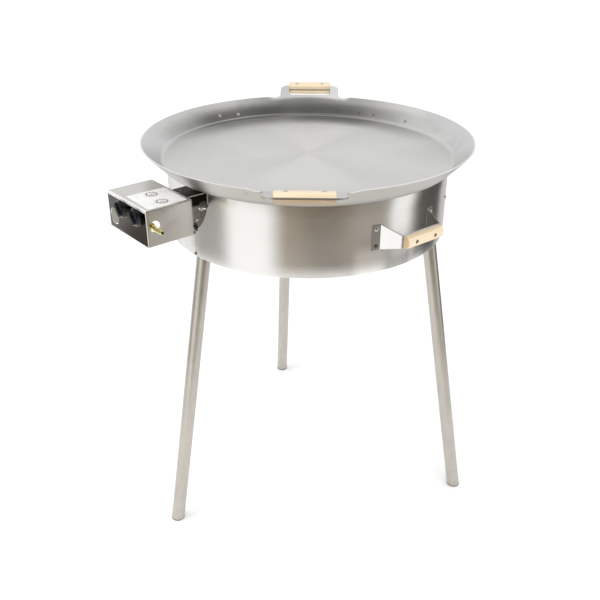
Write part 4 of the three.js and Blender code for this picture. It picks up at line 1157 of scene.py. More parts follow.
# ------------------------------------------------------------------------ drum
def build_drum():
    s = Shape()
    N = 360
    seam = 271.95
    stops = sorted([i * 1.0 for i in range(N) if abs(i - seam) > 0.6] + [seam - 0.22, seam - 0.15, seam + 0.15, seam + 0.22])
    t = DRUM_T
    prof = [
        (DRUM_R - 0.5, DRUM_Z0), (DRUM_R - 0.12, DRUM_Z0 + 0.15), (DRUM_R, DRUM_Z0 + 0.6), (DRUM_R, 700), (DRUM_R, 746), (DRUM_R, 790),
        (DRUM_R, DRUM_Z1 - 1.6), (DRUM_R - 0.45, DRUM_Z1 - 0.45), (DRUM_R - 1.6, DRUM_Z1), (DRUM_R - 4.4, DRUM_Z1), (DRUM_R - 5, DRUM_Z1 - 0.5),
        (DRUM_R - 5, DRUM_Z1 - 2), (DRUM_R - t, DRUM_Z1 - 2), (DRUM_R - t, 746), (DRUM_R - t, DRUM_Z0 + 0.6), (DRUM_R - t + 0.15, DRUM_Z0 + 0.15), (DRUM_R - t + 0.6, DRUM_Z0),
    ]
    rings = []
    for a in stops:
        g = 0.0
        d = a - seam
        if abs(d) < 0.16:
            g = 1.2
        ring = []
        for k, (r, z) in enumerate(prof):
            rr = r - (g if k <= 8 and z < DRUM_Z1 - 1 else 0.0)
            ring.append(s.v(rr * math.cos(rad(a)), rr * math.sin(rad(a)), z))
        rings.append(ring)
    m = len(prof)
    for i in range(len(rings)):
        a, b = rings[i], rings[(i + 1) % len(rings)]
        for k in range(m):
            outer = k <= 8
            # the seam groove gets the recess material: painted shade
            groove = outer and abs(stops[i] - seam + 0.05) < 0.2
            s.f([a[k], b[k], b[(k + 1) % m], a[(k + 1) % m]], 2 if groove else 0 if outer else 1)
    o = raw("drum_wall", s, [M_DRUM, M_DRUM_IN, M_RECESS_SHADE])
    c = Shape()
    cuboid(c, CHAN_X0 + 1.5, 30, -330, -280, 777, 812)
    c2 = Shape()
    cuboid(c2, 29, 53.2, -330, -280, 782, 812)
    boolean(o, [raw("cut1", c), raw("cut2", c2)])
    finish_piece(o, "stand", ["drum_shell"], "drum_steel", sharp=40)


build_drum()


def dome_screw(name, body, node, a, b, head, shank, length, height, mat, slot, recess=None, base=0.0):
    """Fastener whose shank runs from a towards b; the head sits at distance length."""
    s = Shape()
    s.M = frame_to(a, b)
    n = 6
    prof = [(0, 0), (shank - 0.3, 0), (shank, 0.3), (shank, length), (head - 0.15, length), (head, length + 0.15)]
    for i in range(1, n + 1):
        t = math.pi / 2 * i / n
        prof.append((head * math.cos(t) if i < n else 0.0, length + 0.15 + (height - 0.15) * math.sin(t)))
    lathe(s, prof, 28)
    o = raw(name, s, [mat])
    if recess:
        cutters = []
        for k in range(2):
            c = Shape()
            c.M = frame_to(a, b) @ Matrix.Rotation(math.pi / 2 * k + 0.35, 4, "Z")
            cuboid(c, -recess, recess, -recess * 0.22, recess * 0.22, length + height * 0.35, length + height + 2)
            cutters.append(raw("cut", c))
        boolean(o, cutters)
    elif base:
        c = Shape()
        c.M = frame_to(a, b)
        lathe(c, [(0, length + height * 0.45), (base, length + height * 0.45), (base * 1.2, length + height + 1), (0, length + height + 1)], 20)
        boolean(o, [raw("cut", c)])
    return finish_piece(o, body, [node], slot, sharp=45)


def wall_fastener(name, node, az, z, face, head, height, shank, end, **kw):
    c, sn = math.cos(rad(az)), math.sin(rad(az))
    a, b = (end * c, end * sn, z), ((face + 10) * c, (face + 10) * sn, z)
    return dome_screw(name, "stand", node, a, b, head, shank, face - end, height, kw.pop("mat", M_SCREW), "fastener", **kw)


for i, z in enumerate((771, 722, 675)):
    wall_fastener(f"seam_rivet_dome_{i + 1}", f"seam_rivet_{i + 1}", 271.4, z, DRUM_R + GAP, 3.4, 1.6, 1.9, DRUM_R - DRUM_T - 0.2, base=1.1, mat=M_DARK)

# ------------------------------------------------------------ carrying handles
def build_handle(side, k):
    turn = HANDLE_TURN + 180 * k
    T = turn_z(turn)
    rm = DRUM_R + 0.55 + HANDLE_T / 2
    ya = HANDLE_FOOT_HALF + HANDLE_FLANGE
    arc = []
    for i in range(7):
        y = ya + (HANDLE_FOOT_HALF - ya) * i / 6
        arc.append((math.sqrt(rm * rm - y * y), y))
    corner = arc[-1]
    half = arc[:-1] + rounded([arc[-2], corner, (HANDLE_BAR_X, HANDLE_BAR_HALF), (HANDLE_BAR_X, 0)], [0, 3.4, 3.6, 0], 5, closed=False)[1:-1]
    half += [(HANDLE_BAR_X, y) for y in (36, 20, 8)]
    path = half + [(x, -y) for x, y in half[::-1]]
    s = Shape()
    s.M = T
    rings = []
    n = len(path)
    for i, (x, y) in enumerate(path):
        p0, p1 = path[max(i - 1, 0)], path[min(i + 1, n - 1)]
        t = Vector((p1[0] - p0[0], p1[1] - p0[1])).normalized()
        nx, ny = -t.y, t.x
        f = max(0.0, min(1.0, (x - 313.0) / 34.0))
        h = (HANDLE_H0 + (HANDLE_H1 - HANDLE_H0) * f) / 2
        d = HANDLE_T / 2
        rings.append([s.v(x + nx * d, y + ny * d, HANDLE_Z - h), s.v(x - nx * d, y - ny * d, HANDLE_Z - h), s.v(x - nx * d, y - ny * d, HANDLE_Z + h), s.v(x + nx * d, y + ny * d, HANDLE_Z + h)])
    for i, (a, b) in enumerate(zip(rings, rings[1:])):
        r = math.hypot(*path[i])
        m = 1 if r < 313.2 and math.hypot(*path[i + 1]) < 313.2 else 0
        # the farther side plate of each handle gets painted shade
        far = m == 0 and path[i][1] > 49 and path[i + 1][1] > 49
        for j in range(4):
            s.f([a[j], a[(j + 1) % 4], b[(j + 1) % 4], b[j]], 2 if far and j in (1, 3) else m)
    s.f(rings[0][::-1], 1)
    s.f(rings[-1], 1)
    o = raw(f"handle_strip_{side}", s, [M_BRIGHT, M_FLANGE, M_PLATE_SHADE])
    finish_piece(o, "stand", [f"handle_bracket_{side}"], "bright_steel", bevel=0.5, seg=2, angle=55, sharp=30)
    # screws of the flanges
    fa = math.degrees(math.asin((HANDLE_FOOT_HALF + 9.5) / rm))
    for sg in (1, -1):
        for j, z in enumerate((HANDLE_Z - 18, HANDLE_Z + 18)):
            tag = f"{side}_{'b' if sg > 0 else 'a'}{j + 1}"
            wall_fastener(f"bracket_screw_head_{tag}", f"bracket_screw_{tag}", turn + sg * fa, z, rm + HANDLE_T / 2 + 0.4, 4.6, 2.6, 2.1, DRUM_R - 6, recess=2.2, mat=M_DARK if j == 0 else M_SCREW)
    # wooden grip
    x0 = HANDLE_BAR_X + HANDLE_T / 2 + GAP
    hh, flat, bulge = 13.2, 3.0, 11.2
    sec = [(x0, -hh + 0.6), (x0 + 0.6, -hh)]
    for i in range(17):
        t = rad(-90 + 180 * i / 16)
        sec.append((x0 + flat + bulge * math.cos(t), hh * math.sin(t)))
    sec += [(x0 + 0.6, hh), (x0, hh - 0.6)]
    sec = [p for i, p in enumerate(sec) if math.dist(p, sec[i - 1]) > 0.05]
    s = Shape()
    s.M = T @ Matrix.Translation((0, 0, HANDLE_Z))
    rings = []
    for y, inset in ((-48.5, 2.1), (-48.1, 1.1), (-47.3, 0.35), (-46.0, 0.0), (-30, 0), (-10, 0), (10, 0), (30, 0), (46.0, 0.0), (47.3, 0.35), (48.1, 1.1), (48.5, 2.1)):
        rings.append([s.v(x0 + (x - x0) * (14.2 - inset) / 14.2, y, z * (hh - inset) / hh) for x, z in sec])
    m = len(sec)
    for a, b in zip(rings, rings[1:]):
        for i in range(m):
            s.f([a[i], a[(i + 1) % m], b[(i + 1) % m], b[i]])
    s.f(rings[0][::-1])
    s.f(rings[-1])
    o = raw(f"handle_wood_{side}", s, [M_WOOD[side]])
    cutters = []
    for y in (-27, 24):
        c = Shape()
        c.M = T @ frame_to((x0 + 10.5, y, HANDLE_Z), (x0 + 40, y, HANDLE_Z))
        lathe(c, [(0, 0), (4.2, 0), (4.2, 30), (0, 30)], 32)
        cutters.append(raw("cut", c))
    boolean(o, cutters)
    finish_piece(o, "stand", [f"handle_grip_{side}"], "wood", sharp=50)
    for i, y in enumerate((-27, 24)):
        a = T @ Vector((HANDLE_BAR_X - HANDLE_T / 2 - 2.5, y, HANDLE_Z))
        b = T @ Vector((HANDLE_BAR_X + 20, y, HANDLE_Z))
        L = x0 + 10.8 - (HANDLE_BAR_X - HANDLE_T / 2 - 2.5)
        tag = "b" if i else "a"
        dome_screw(f"grip_screw_head_{side}_{tag}", "stand", f"grip_screw_{side}_{tag}", a, b, 3.8, 1.9, L, 1.8, M_DARK, "dark_steel", recess=2.0)


for k, side in enumerate(("right", "left")):
    build_handle(side, k)

# ------------------------------------------------------------------------ legs
SLOPE = (LEG_FOOT_R - LEG_TOP_R) / DRUM_Z0
for which, az in LEG_AZ.items():
    c, sn = math.cos(rad(az)), math.sin(rad(az))
    at = lambda z, dr=0.0: Vector(((LEG_FOOT_R - SLOPE * z + dr) * c, (LEG_FOOT_R - SLOPE * z + dr) * sn, z))
    d = (at(100) - at(0)).normalized()
    # tube
    s = Shape()
    M0 = frame_to(at(0), at(100))
    seg = 72
    top_len = (DRUM_Z0 + LEG_INSIDE) / d.z
    rings_o, rings_i = [], []
    cut = FOOT_T + GAP
    for t in (None, 30, 120, 250, 400, 550, 660, top_len - 0.6, top_len):
        ro, ri = [], []
        for i in range(seg):
            a = 2 * math.pi * i / seg
            for R0, lst in ((LEG_R, ro), (LEG_R - LEG_T, ri)):
                if t == top_len:
                    R0 = R0 - 0.4 if R0 == LEG_R else R0 + 0.2
                p = M0 @ Vector((R0 * math.cos(a), R0 * math.sin(a), 0 if t is None else t))
                if t is None:
                    p = p + d * ((cut - p.z) / d.z)
                lst.append(s.v(*p))
        rings_o.append(ro)
        rings_i.append(ri)
    for rings in (rings_o, rings_i):
        for a, b in zip(rings, rings[1:]):
            for i in range(seg):
                s.f([a[i], a[(i + 1) % seg], b[(i + 1) % seg], b[i]])
    for e in (0, -1):
        for i in range(seg):
            s.f([rings_o[e][i], rings_o[e][(i + 1) % seg], rings_i[e][(i + 1) % seg], rings_i[e][i]])
    o = raw(f"leg_pipe_{which}", s, [M_LEG])
    finish_piece(o, "stand", [f"leg_tube_{which}"], "leg_steel", bevel=0.45, seg=3, angle=55, sharp=40)
    # foot plug
    s = Shape()
    rp = LEG_R - LEG_T - GAP
    rings = []
    for z, rr in ((0.0, LEG_R - 1.4), (0.25, LEG_R - 0.55), (0.9, LEG_R + 0.05), (1.6, LEG_R + 0.3), (2.6, LEG_R + 0.28), (3.0, LEG_R - 0.1), (3.0, rp)):
        ring = []
        for i in range(seg):
            a = 2 * math.pi * i / seg
            p = M0 @ Vector((rr * math.cos(a), rr * math.sin(a), 0))
            p = p + d * ((z - p.z) / d.z)
            ring.append(s.v(*p))
        rings.append(ring)
    for t in (6.0, FOOT_PLUG - 1.0, FOOT_PLUG):
        rr = rp if t < FOOT_PLUG else rp - 0.8
        rings.append([s.v(*(M0 @ Vector((rr * math.cos(2 * math.pi * i / seg), rr * math.sin(2 * math.pi * i / seg), t)))) for i in range(seg)])
    for a, b in zip(rings, rings[1:]):
        for i in range(seg):
            s.f([a[i], a[(i + 1) % seg], b[(i + 1) % seg], b[i]])
    s.f(rings[0][::-1])
    s.f(rings[-1])
    piece(f"foot_plug_{which}", s, M_FOOT, "stand", [f"leg_foot_{which}"], "foot_cap", sharp=40)
    # socket: sleeve with a closed top, web and flange on the wall
    z0, z1 = DRUM_Z0 + 8, DRUM_Z0 + LEG_INSIDE + 12
    sl = (z1 - z0) / d.z
    so, ri = LEG_R + 3, LEG_R + GAP
    s = Shape()
    s.M = frame_to(at(z0), at(z0 + 100))
    lathe(s, [(ri, 0), (so - 0.6, 0), (so, 0.6), (so, sl - 1.2), (so - 1.2, sl), (0, sl), (0, sl - 4), (ri, sl - 4)], 56, closed=True)
    sleeve = raw(f"leg_socket_body_{which}", s, [M_SOCKET])
    rf = DRUM_R - DRUM_T - 0.6
    web = Shape()
    web.M = turn_z(az)
    cuboid(web, 284.5 - 22, rf - 1.0, -2.5, 2.5, DRUM_Z0 + 38, DRUM_Z0 + 70)
    bore = Shape()
    bore.M = frame_to(at(z0), at(z0 + 100))
    lathe(bore, [(0, -30), (ri, -30), (ri, sl - 4), (0, sl - 4)], 56)
    webo = boolean(raw("web", web), [raw("cut", bore)])
    fl = Shape()
    pts = [((rf) * math.cos(rad(az - 4.4 + 8.8 * i / 8)), (rf) * math.sin(rad(az - 4.4 + 8.8 * i / 8))) for i in range(9)]
    pts += [((rf - 3) * math.cos(rad(az + 4.4 - 8.8 * i / 8)), (rf - 3) * math.sin(rad(az + 4.4 - 8.8 * i / 8))) for i in range(9)]
    slab(fl, pts, DRUM_Z0 + 36, DRUM_Z0 + 98)
    boolean(sleeve, [webo, raw("flange", fl)], "UNION")
    finish_piece(sleeve, "stand", [f"leg_socket_{which}"], "dark_steel", sharp=40)
    wall_fastener(f"leg_bolt_head_{which}", f"leg_bolt_{which}", az + 2.9, DRUM_Z0 + 88, DRUM_R + GAP, 4.0, 2.4, 2.2, DRUM_R - 9, recess=2.0)

# ---------------------------------------------------------------- burner parts
MIX = {
    "inner": [[-12, -402, 803.5], [-12, -392, 803.5], [1, -371, 803.5], [13, -353, 802.5], [13.5, -338, 799.5], [14, -300, 790], [11, -270, 775], [3, -247, 752], [-6, -226, 728], [-12, -200, 721], [-12, -180, 720.5], [-12, -150, 728], [-12, -125, 742], [-10.8, -104, 748]],
    "outer": [[42, -402, 803.5], [42, -350, 803.5], [42, -300, 794], [42, -262, 770], [41.16, -235, 755], [37.8, -203, 748]],
}
for which, R in RING_R.items():
    s = Shape()
    seg, sec = 180, circle(RING_TUBE, 20)
    rings = []
    for i in range(seg):
        a = 2 * math.pi * i / seg
        rings.append([s.v((R + x) * math.cos(a), (R + x) * math.sin(a), RING_Z + y) for x, y in sec])
    for i in range(seg):
        a, b = rings[i], rings[(i + 1) % seg]
        for k in range(20):
            s.f([a[k], a[(k + 1) % 20], b[(k + 1) % 20], b[k]])
    o = raw(f"burner_ring_tube_{which}", s, [M_BURNER])
    ports = Shape()
    count = 40 if which == "inner" else 76
    for i in range(count):
        a = 360.0 * (i + 0.5) / count
        c, sn = math.cos(rad(a)), math.sin(rad(a))
        q = Vector((R * c, R * sn, RING_Z))
        out = Vector((c * 0.5, sn * 0.5, 0.866))
        ports.M = frame_to(q + out * 9.6, q + out * 20)
        lathe(ports, [(0, 0), (1.15, 0), (1.15, 6), (0, 6)], 10)
    ports.M = Matrix.Identity(4)
    boolean(o, [raw("cut", ports)])
    finish_piece(o, "stand", [f"burner_ring_{which}"], "burner_steel", sharp=50)
    path = smooth_path(MIX[which], 8)
    # stops at the outside of the ring tube
    while len(path) > 2 and math.hypot(math.hypot(path[-1].x, path[-1].y) - R, path[-1].z - RING_Z) < RING_TUBE + GAP + 0.2:
        path.pop()
    s = Shape()
    sweep(s, path, circle(10.5, 24), hollow=circle(8.5, 24))
    piece(f"mixer_pipe_{which}", s, M_BURNER, "stand", [f"mixer_tube_{which}"], "burner_steel", sharp=50)

s = Shape()
zt = RING_Z - RING_TUBE - GAP
rr = DRUM_R - DRUM_T - 1.2
bars = []
for k, az in enumerate((45, 135)):
    b = Shape()
    b.M = turn_z(az)
    outline = rounded([(-rr + 0.7, zt), (-rr + 0.7, zt - 30), (-rr + 3.7, zt - 30), (-rr + 3.7, zt - 4), (rr - 3.7, zt - 4), (rr - 3.7, zt - 30), (rr - 0.7, zt - 30), (rr - 0.7, zt)], [2.4, 0.4, 0.4, 1.4, 1.4, 0.4, 0.4, 2.4], 4)
    b.M = turn_z(az) @ Matrix(((1, 0, 0, 0), (0, 0, -1, 11), (0, 1, 0, 0), (0, 0, 0, 1)))
    slab(b, outline, 0, 22)
    bars.append(raw("bar", b, [M_BURNER]))
o = boolean(bars[0], [bars[1]], "UNION")
o.name = "burner_cross"
finish_piece(o, "stand", ["burner_carrier"], "burner_steel", bevel=0.4, seg=2, angle=55)


# ----------------------------------------------------------------- control box
def round_box(x0, x1, y0, y1, z0, z1, r, seg=5):
    """Box open to below in spirit: its upright and upper edges are rounded."""
    s = Shape()
    cuboid(s, x0, x1, y0, y1, z0, z1)
    edges = [e for e in s.bm.edges if not all(abs(v.co.z - z0) < 1e-6 for v in e.verts)]
    bmesh.ops.bevel(s.bm, geom=edges, offset=r, segments=seg, profile=0.5, affect="EDGES")
    return s


def build_box():
    t, R = BOX_T, 3.0
    o = raw("control_box_case", round_box(BOX_X0, BOX_X1, BOX_Y0, BOX_Y1, BOX_Z0, BOX_Z1, R), [M_BOX, M_BOX_FRONT_SHADE_AND_HIGHLIGHT, M_BOX_IN, M_FOLD_HIGHLIGHT, M_DARK])
    cutters = [raw("cut", round_box(BOX_X0 + t, BOX_X1 - t, BOX_Y0 + t, BOX_Y1 - t, BOX_Z0 - 12, BOX_Z1 - t, R - t))]
    for x in KNOB_X.values():
        c = Shape()
        c.M = frame_to((x, BOX_Y0 - 5, KNOB_Z), (x, BOX_Y0 + 5, KNOB_Z))
        lathe(c, [(0, 0), (5.5, 0), (5.5, 10), (0, 10)], 32)
        cutters.append(raw("cut", c))
    c = Shape()
    c.M = frame_to((-55, BOX_Y0 - 5, 774.5), (-55, BOX_Y0 + 5, 774.5))
    lathe(c, [(0, 0), (16.5, 0), (16.5, 10), (0, 10)], 64)
    cutters.append(raw("cut", c))
    c = Shape()
    c.M = frame_to((BOX_X1 - 5, -430.5, 788.5), (BOX_X1 + 5, -430.5, 788.5))
    lathe(c, [(0, 0), (10.8, 0), (10.8, 10), (0, 10)], 56)
    cutters.append(raw("cut", c))
    c = Shape()
    cuboid(c, CHAN_X0 + t, CHAN_X1 - t, BOX_Y1 - 5, BOX_Y1 + 5, 758, 817)
    cutters.append(raw("cut", c))
    c = Shape()
    cuboid(c, BOX_X0 + 2.2, BOX_X1 - 2.2, BOX_Y0 - 5, BOX_Y0 + 0.7, HEM_Z, HEM_Z + 0.9)
    cutters.append(raw("cut", c))
    boolean(o, cutters)
    me = o.data
    for p in me.polygons:
        n, c = p.normal, p.center
        y = c.y * 1000 - AXIS_Y
        # the front face gets the near-black front material: painted dark reflection
        if n.y < -0.985 and y < BOX_Y0 + 0.2:
            p.material_index = 1
        # painted shade in the groove under the hem: dark fastener steel
        elif n.y < -0.985 and y < BOX_Y0 + 0.9 and HEM_Z - 0.2 < c.z * 1000 < HEM_Z + 1.1:
            p.material_index = 4
        # painted highlight on the rounded top front edge
        elif n.y < -0.15 and n.z > 0.15 and abs(n.x) < 0.5 and y < BOX_Y0 + 4:
            p.material_index = 3
        elif BOX_X0 + t - 0.01 < c.x * 1000 < BOX_X1 - t + 0.01 and BOX_Y0 + t - 0.01 < y < BOX_Y1 - t + 0.01 and c.z * 1000 < BOX_Z1 - t + 0.01:
            p.material_index = 2
        else:
            p.material_index = 0
    finish_piece(o, "stand", ["control_box"], "box_steel", bevel=0.22, seg=2, angle=60, sharp=32)


build_box()


def build_channel():
    t, R = BOX_T, 2.4
    s = round_box(CHAN_X0, CHAN_X1, BOX_Y1 - 40, -250, 730, DRUM_Z1, R)
    o = raw("bridge_channel", s, [M_CHAN, M_BRIGHT])
    cutters = [raw("cut", round_box(CHAN_X0 + t, CHAN_X1 - t, BOX_Y1 - 60, -230, 700, DRUM_Z1 - t, R - t + 0.4))]
    c = Shape()
    cuboid(c, -90, 90, BOX_Y1 - 80, BOX_Y1 + GAP, 690, 900)
    cutters.append(raw("cut", c))
    c = Shape()
    c.M = Matrix(((0, 0, 1, -80), (1, 0, 0, 0), (0, 1, 0, 0), (0, 0, 0, 1)))
    edge = [(-240, 792), (-305, 792)]
    edge += [(p.x, p.y) for p in smooth_path([(-305, 792, 0), (-311, 777, 0), (-317, 765, 0), (-325, 756.5, 0), (-331, 752.5, 0)], 5)[1:]]
    slab(c, [(BOX_Y1 - 45, 700), (-240, 700), *edge, (BOX_Y1 - 5, 751), (BOX_Y1 - 45, 751)], 0, 160)
    cutters.append(raw("cut", c))
    c = Shape()
    lathe(c, [(0, 650), (DRUM_R + GAP + 0.2, 650), (DRUM_R + GAP + 0.2, 900), (0, 900)], 240)
    cutters.append(raw("cut", c))
    for y, z, r in ((-315.5, 796.5, 10.5), (THUMB_Y, THUMB_Z, 2.5), (-330.5, 772.5, 1.9)):
        c = Shape()
        c.M = frame_to((30, y, z), (80, y, z))
        lathe(c, [(0, 0), (r, 0), (r, 50), (0, 50)], 48)
        cutters.append(raw("cut", c))
    boolean(o, cutters)
    # painted highlight: the rounded edge between top and +X side gets the bright bracket steel
    for p in o.data.polygons:
        n = p.normal
        if n.x > 0.2 and n.z > 0.2:
            p.material_index = 1
    finish_piece(o, "stand", ["control_channel"], "bright_steel", bevel=0.25, seg=2, angle=60, sharp=32)
    o.visible_glossy = False


build_channel()

# rail, nozzle, valves
s = Shape()
s.M = frame_to((-28, RAIL_Y, RAIL_Z), (0, RAIL_Y, RAIL_Z))
lathe(s, [(0, 0), (5.2, 0), (6, 0.8), (6, 83), (3.4, 83), (3.4, 6), (0, 6)], 36)
rail = raw("gas_manifold", s, [M_BRASS])
s = Shape()
s.M = frame_to((55, RAIL_Y, RAIL_Z), (80, RAIL_Y, RAIL_Z))
lathe(s, [(3.4, 0), (7.4, 0), (8.0, 0.9), (8.0, 11.9), (7.4, 12.8), (3.4, 12.8)], 6, closed=True)
boolean(rail, [raw("hex", s)], "UNION")
finish_piece(rail, "stand", ["gas_rail"], "brass", sharp=30)

s = Shape()
bx = 68.1
L = BARB_END - bx
s.M = frame_to((bx, RAIL_Y, RAIL_Z), (bx + 10, RAIL_Y, RAIL_Z))
prof = [(2.6, 0), (4.7, 0), (5, 0.3), (5, 7.6), (4.8, 8.1), (4.2, 8.8), (4.1, 9.4)]
for i in range(3):
    h = 12.5 + i * 7.7
    prof += [(4.1, h - 0.4), (4.25, h), (4.86, h + 0.7), (4.9, h + 1.0), (4.84, h + 1.4), (4.14, h + 6.4)]
prof += [(4.0, L - 1.2), (3.6, L - 0.25), (3.4, L), (2.9, L), (2.6, L - 0.4)]
# the bore inside the nozzle gets the recess material: painted shade
mats = [0] * (len(prof) - 1) + [1]
lathe(s, prof, 48, closed=True, mats=mats)
piece("hose_nozzle", s, [M_BRASS, M_RECESS_SHADE], "stand", ["hose_barb"], "brass", sharp=45)

for which, x in KNOB_X.items():
    yf = BOX_Y0 + BOX_T + 2.2
    s = Shape()
    s.M = frame_to((x, yf, KNOB_Z), (x, yf + 10, KNOB_Z))
    lathe(s, [(6.6, 0), (8.2, 0), (8.8, 0.6), (8.8, 8), (6.6, 8)], 40, closed=True)
    nut = raw("nut", s, [M_BRASS_Y])
    s = Shape()
    cuboid(s, x - 10, x + 10, yf + 5, yf + 32, RAIL_Z + 6.3, KNOB_Z + 10)
    bmesh.ops.bevel(s.bm, geom=list(s.bm.edges), offset=1.2, segments=3, profile=0.5, affect="EDGES")
    bodyo = raw(f"valve_body_{which}", s, [M_BRASS_Y])
    s = Shape()
    s.M = frame_to((x, yf, KNOB_Z), (x, yf + 10, KNOB_Z))
    lathe(s, [(0, 30), (6, 30), (6, 37.4), (5.4, 38), (3.4, 38), (3.4, 49.4), (2.8, 50), (0, 50)], 32)
    jet = raw("jet", s, [M_BRASS_Y])
    boolean(bodyo, [nut, jet], "UNION")
    s = Shape()
    s.M = frame_to((x, yf - 2, KNOB_Z), (x, yf + 10, KNOB_Z))
    lathe(s, [(0, 0), (6.6, 0), (6.6, 24), (0, 24)], 40)
    boolean(bodyo, [raw("cut", s)])
    finish_piece(bodyo, "stand", [f"gas_valve_{which}"], "brass", sharp=35)
    # spring seat
    s = Shape()
    s.M = frame_to((x, yf + 3, KNOB_Z), (x, yf + 10, KNOB_Z))
    lathe(s, rounded([(3.9, 0), (6.2, 0), (6.2, 3), (3.9, 3)], 0.35, 3), 40, closed=True)
    piece(f"spring_washer_{which}", s, M_SCREW, f"seat_{which}", [f"spring_seat_{which}"], "fastener", sharp=40)
    # stem
    s = Shape()
    s.M = frame_to((x, KNOB_BACK - 9, KNOB_Z), (x, KNOB_BACK, KNOB_Z))
    lathe(s, [(0, 0), (2.6, 0), (3, 0.4), (3, 31.1), (2.6, 31.5), (0, 31.5)], 36)
    piece(f"stem_rod_{which}", s, M_SCREW, f"dial_{which}", [f"valve_stem_{which}"], "fastener", sharp=40)
    # knob: skirt, boss and bar grip
    f = KNOB_BACK - KNOB_LEN
    M = frame_to((x, KNOB_BACK, KNOB_Z), (x, f, KNOB_Z))
    s = Shape()
    s.M = M
    corner = rounded([(17.5, 0.5), (17.5, 2.4), (15.6, 4.3), (14.5, 4.6), (14.1, 7.0), (12.6, 7.7)], [0, 0.9, 0.7, 0.5, 0.8, 0], 5, closed=False)
    prof = [(0, 0), (17.1, 0), (17.5, 0.45), *corner, (0, 7.7)]
    # painted highlight bands on the skirt's chamfer and the boss's front rim
    rim = [1 if (1.7 < (h + k) / 2 < 4.3 and r > 15.5) or ((h + k) / 2 > 6.6 and r > 12.4 and q > 12.0) else 0 for (r, h), (q, k) in zip(prof, prof[1:])]
    lathe(s, prof, 96, mats=rim)
    knob = raw(f"knob_cap_{which}", s, [M_BLACK, M_KNOB_HIGHLIGHT])
    # grip bar with waisted flanks
    s = Shape()
    s.M = Matrix.Translation((x, 0, KNOB_Z)) @ Matrix.Rotation(rad(KNOB_LEAN), 4, "Y")
    flank = [(-5.3, 5.2), (-4.7, 7.2), (-4.3, 9.0), (-4.35, 11.4), (-3.6, 12.43)]
    poly = [(a, KNOB_BACK - d) for a, d in flank] + [(-a, KNOB_BACK - d) for a, d in flank[::-1]]
    slab(s, poly, -15.5, 15.5)
    bar = raw("bar", s, [M_BLACK, M_KNOB_HIGHLIGHT])
    s = Shape()
    s.M = M
    lathe(s, [(0, 0), (15.0, 0), *rounded([(15.0, 0.5), (14.3, 11.2), (12.7, 12.43)], [0, 1.2, 0], 5, closed=False), (0, 12.43)], 96)
    boolean(bar, [raw("cap", s)], "INTERSECT")
    boolean(knob, [bar], "UNION")
    s = Shape()
    s.M = M
    lathe(s, [(0, -1), (3.3, -1), (3.3, 9.3), (0, 9.3)], 32)
    boolean(knob, [raw("cut", s)])
    finish_piece(knob, f"dial_{which}", [f"knob_{which}"], "knob_black", bevel=0.6, seg=3, angle=38, sharp=30)
    # the rounded edges get the light plastic too: painted highlight lines
    knob.modifiers["edges"].material = 1

# thumb screw and rivet in the side of the bridge
tx = 52.0
s = Shape()
s.M = frame_to((tx, THUMB_Y, THUMB_Z), (tx + 10, THUMB_Y, THUMB_Z))
lathe(s, [(0, 0), (1.9, 0), (2.2, 0.3), (2.2, 6.3), (4.1, 6.3), (4.4, 6.6), (4.0, 13.4), (3.4, 14.0), (0, 14.0)], 40)
screw = raw("wing_screw", s, [M_BLACK])
s = Shape()
s.M = Matrix.Translation((tx + 11, THUMB_Y, THUMB_Z)) @ Matrix(((0, 0, 1, 0), (1, 0, 0, 0), (0, 1, 0, 0), (0, 0, 0, 1)))
wing = rounded([(-1.7, -4), (-2.2, -7.5), (2.2, -7.5), (1.7, -4), (1.7, 4), (2.2, 7.5), (-2.2, 7.5), (-1.7, 4)], [1, 1.6, 1.6, 1, 1, 1.6, 1.6, 1], 4)
slab(s, wing, -2.75, 2.75)
boolean(screw, [raw("wing", s)], "UNION")
finish_piece(screw, "thumb_screw", ["thumb_screw"], "knob_black", bevel=0.35, seg=2, angle=45)
dome_screw("bridge_rivet_dome", "stand", "bridge_rivet", (54.3, -330.5, 772.5), (60, -330.5, 772.5), 3.0, 1.6, 4.0, 1.3, M_SCREW, "fastener", base=0.9)


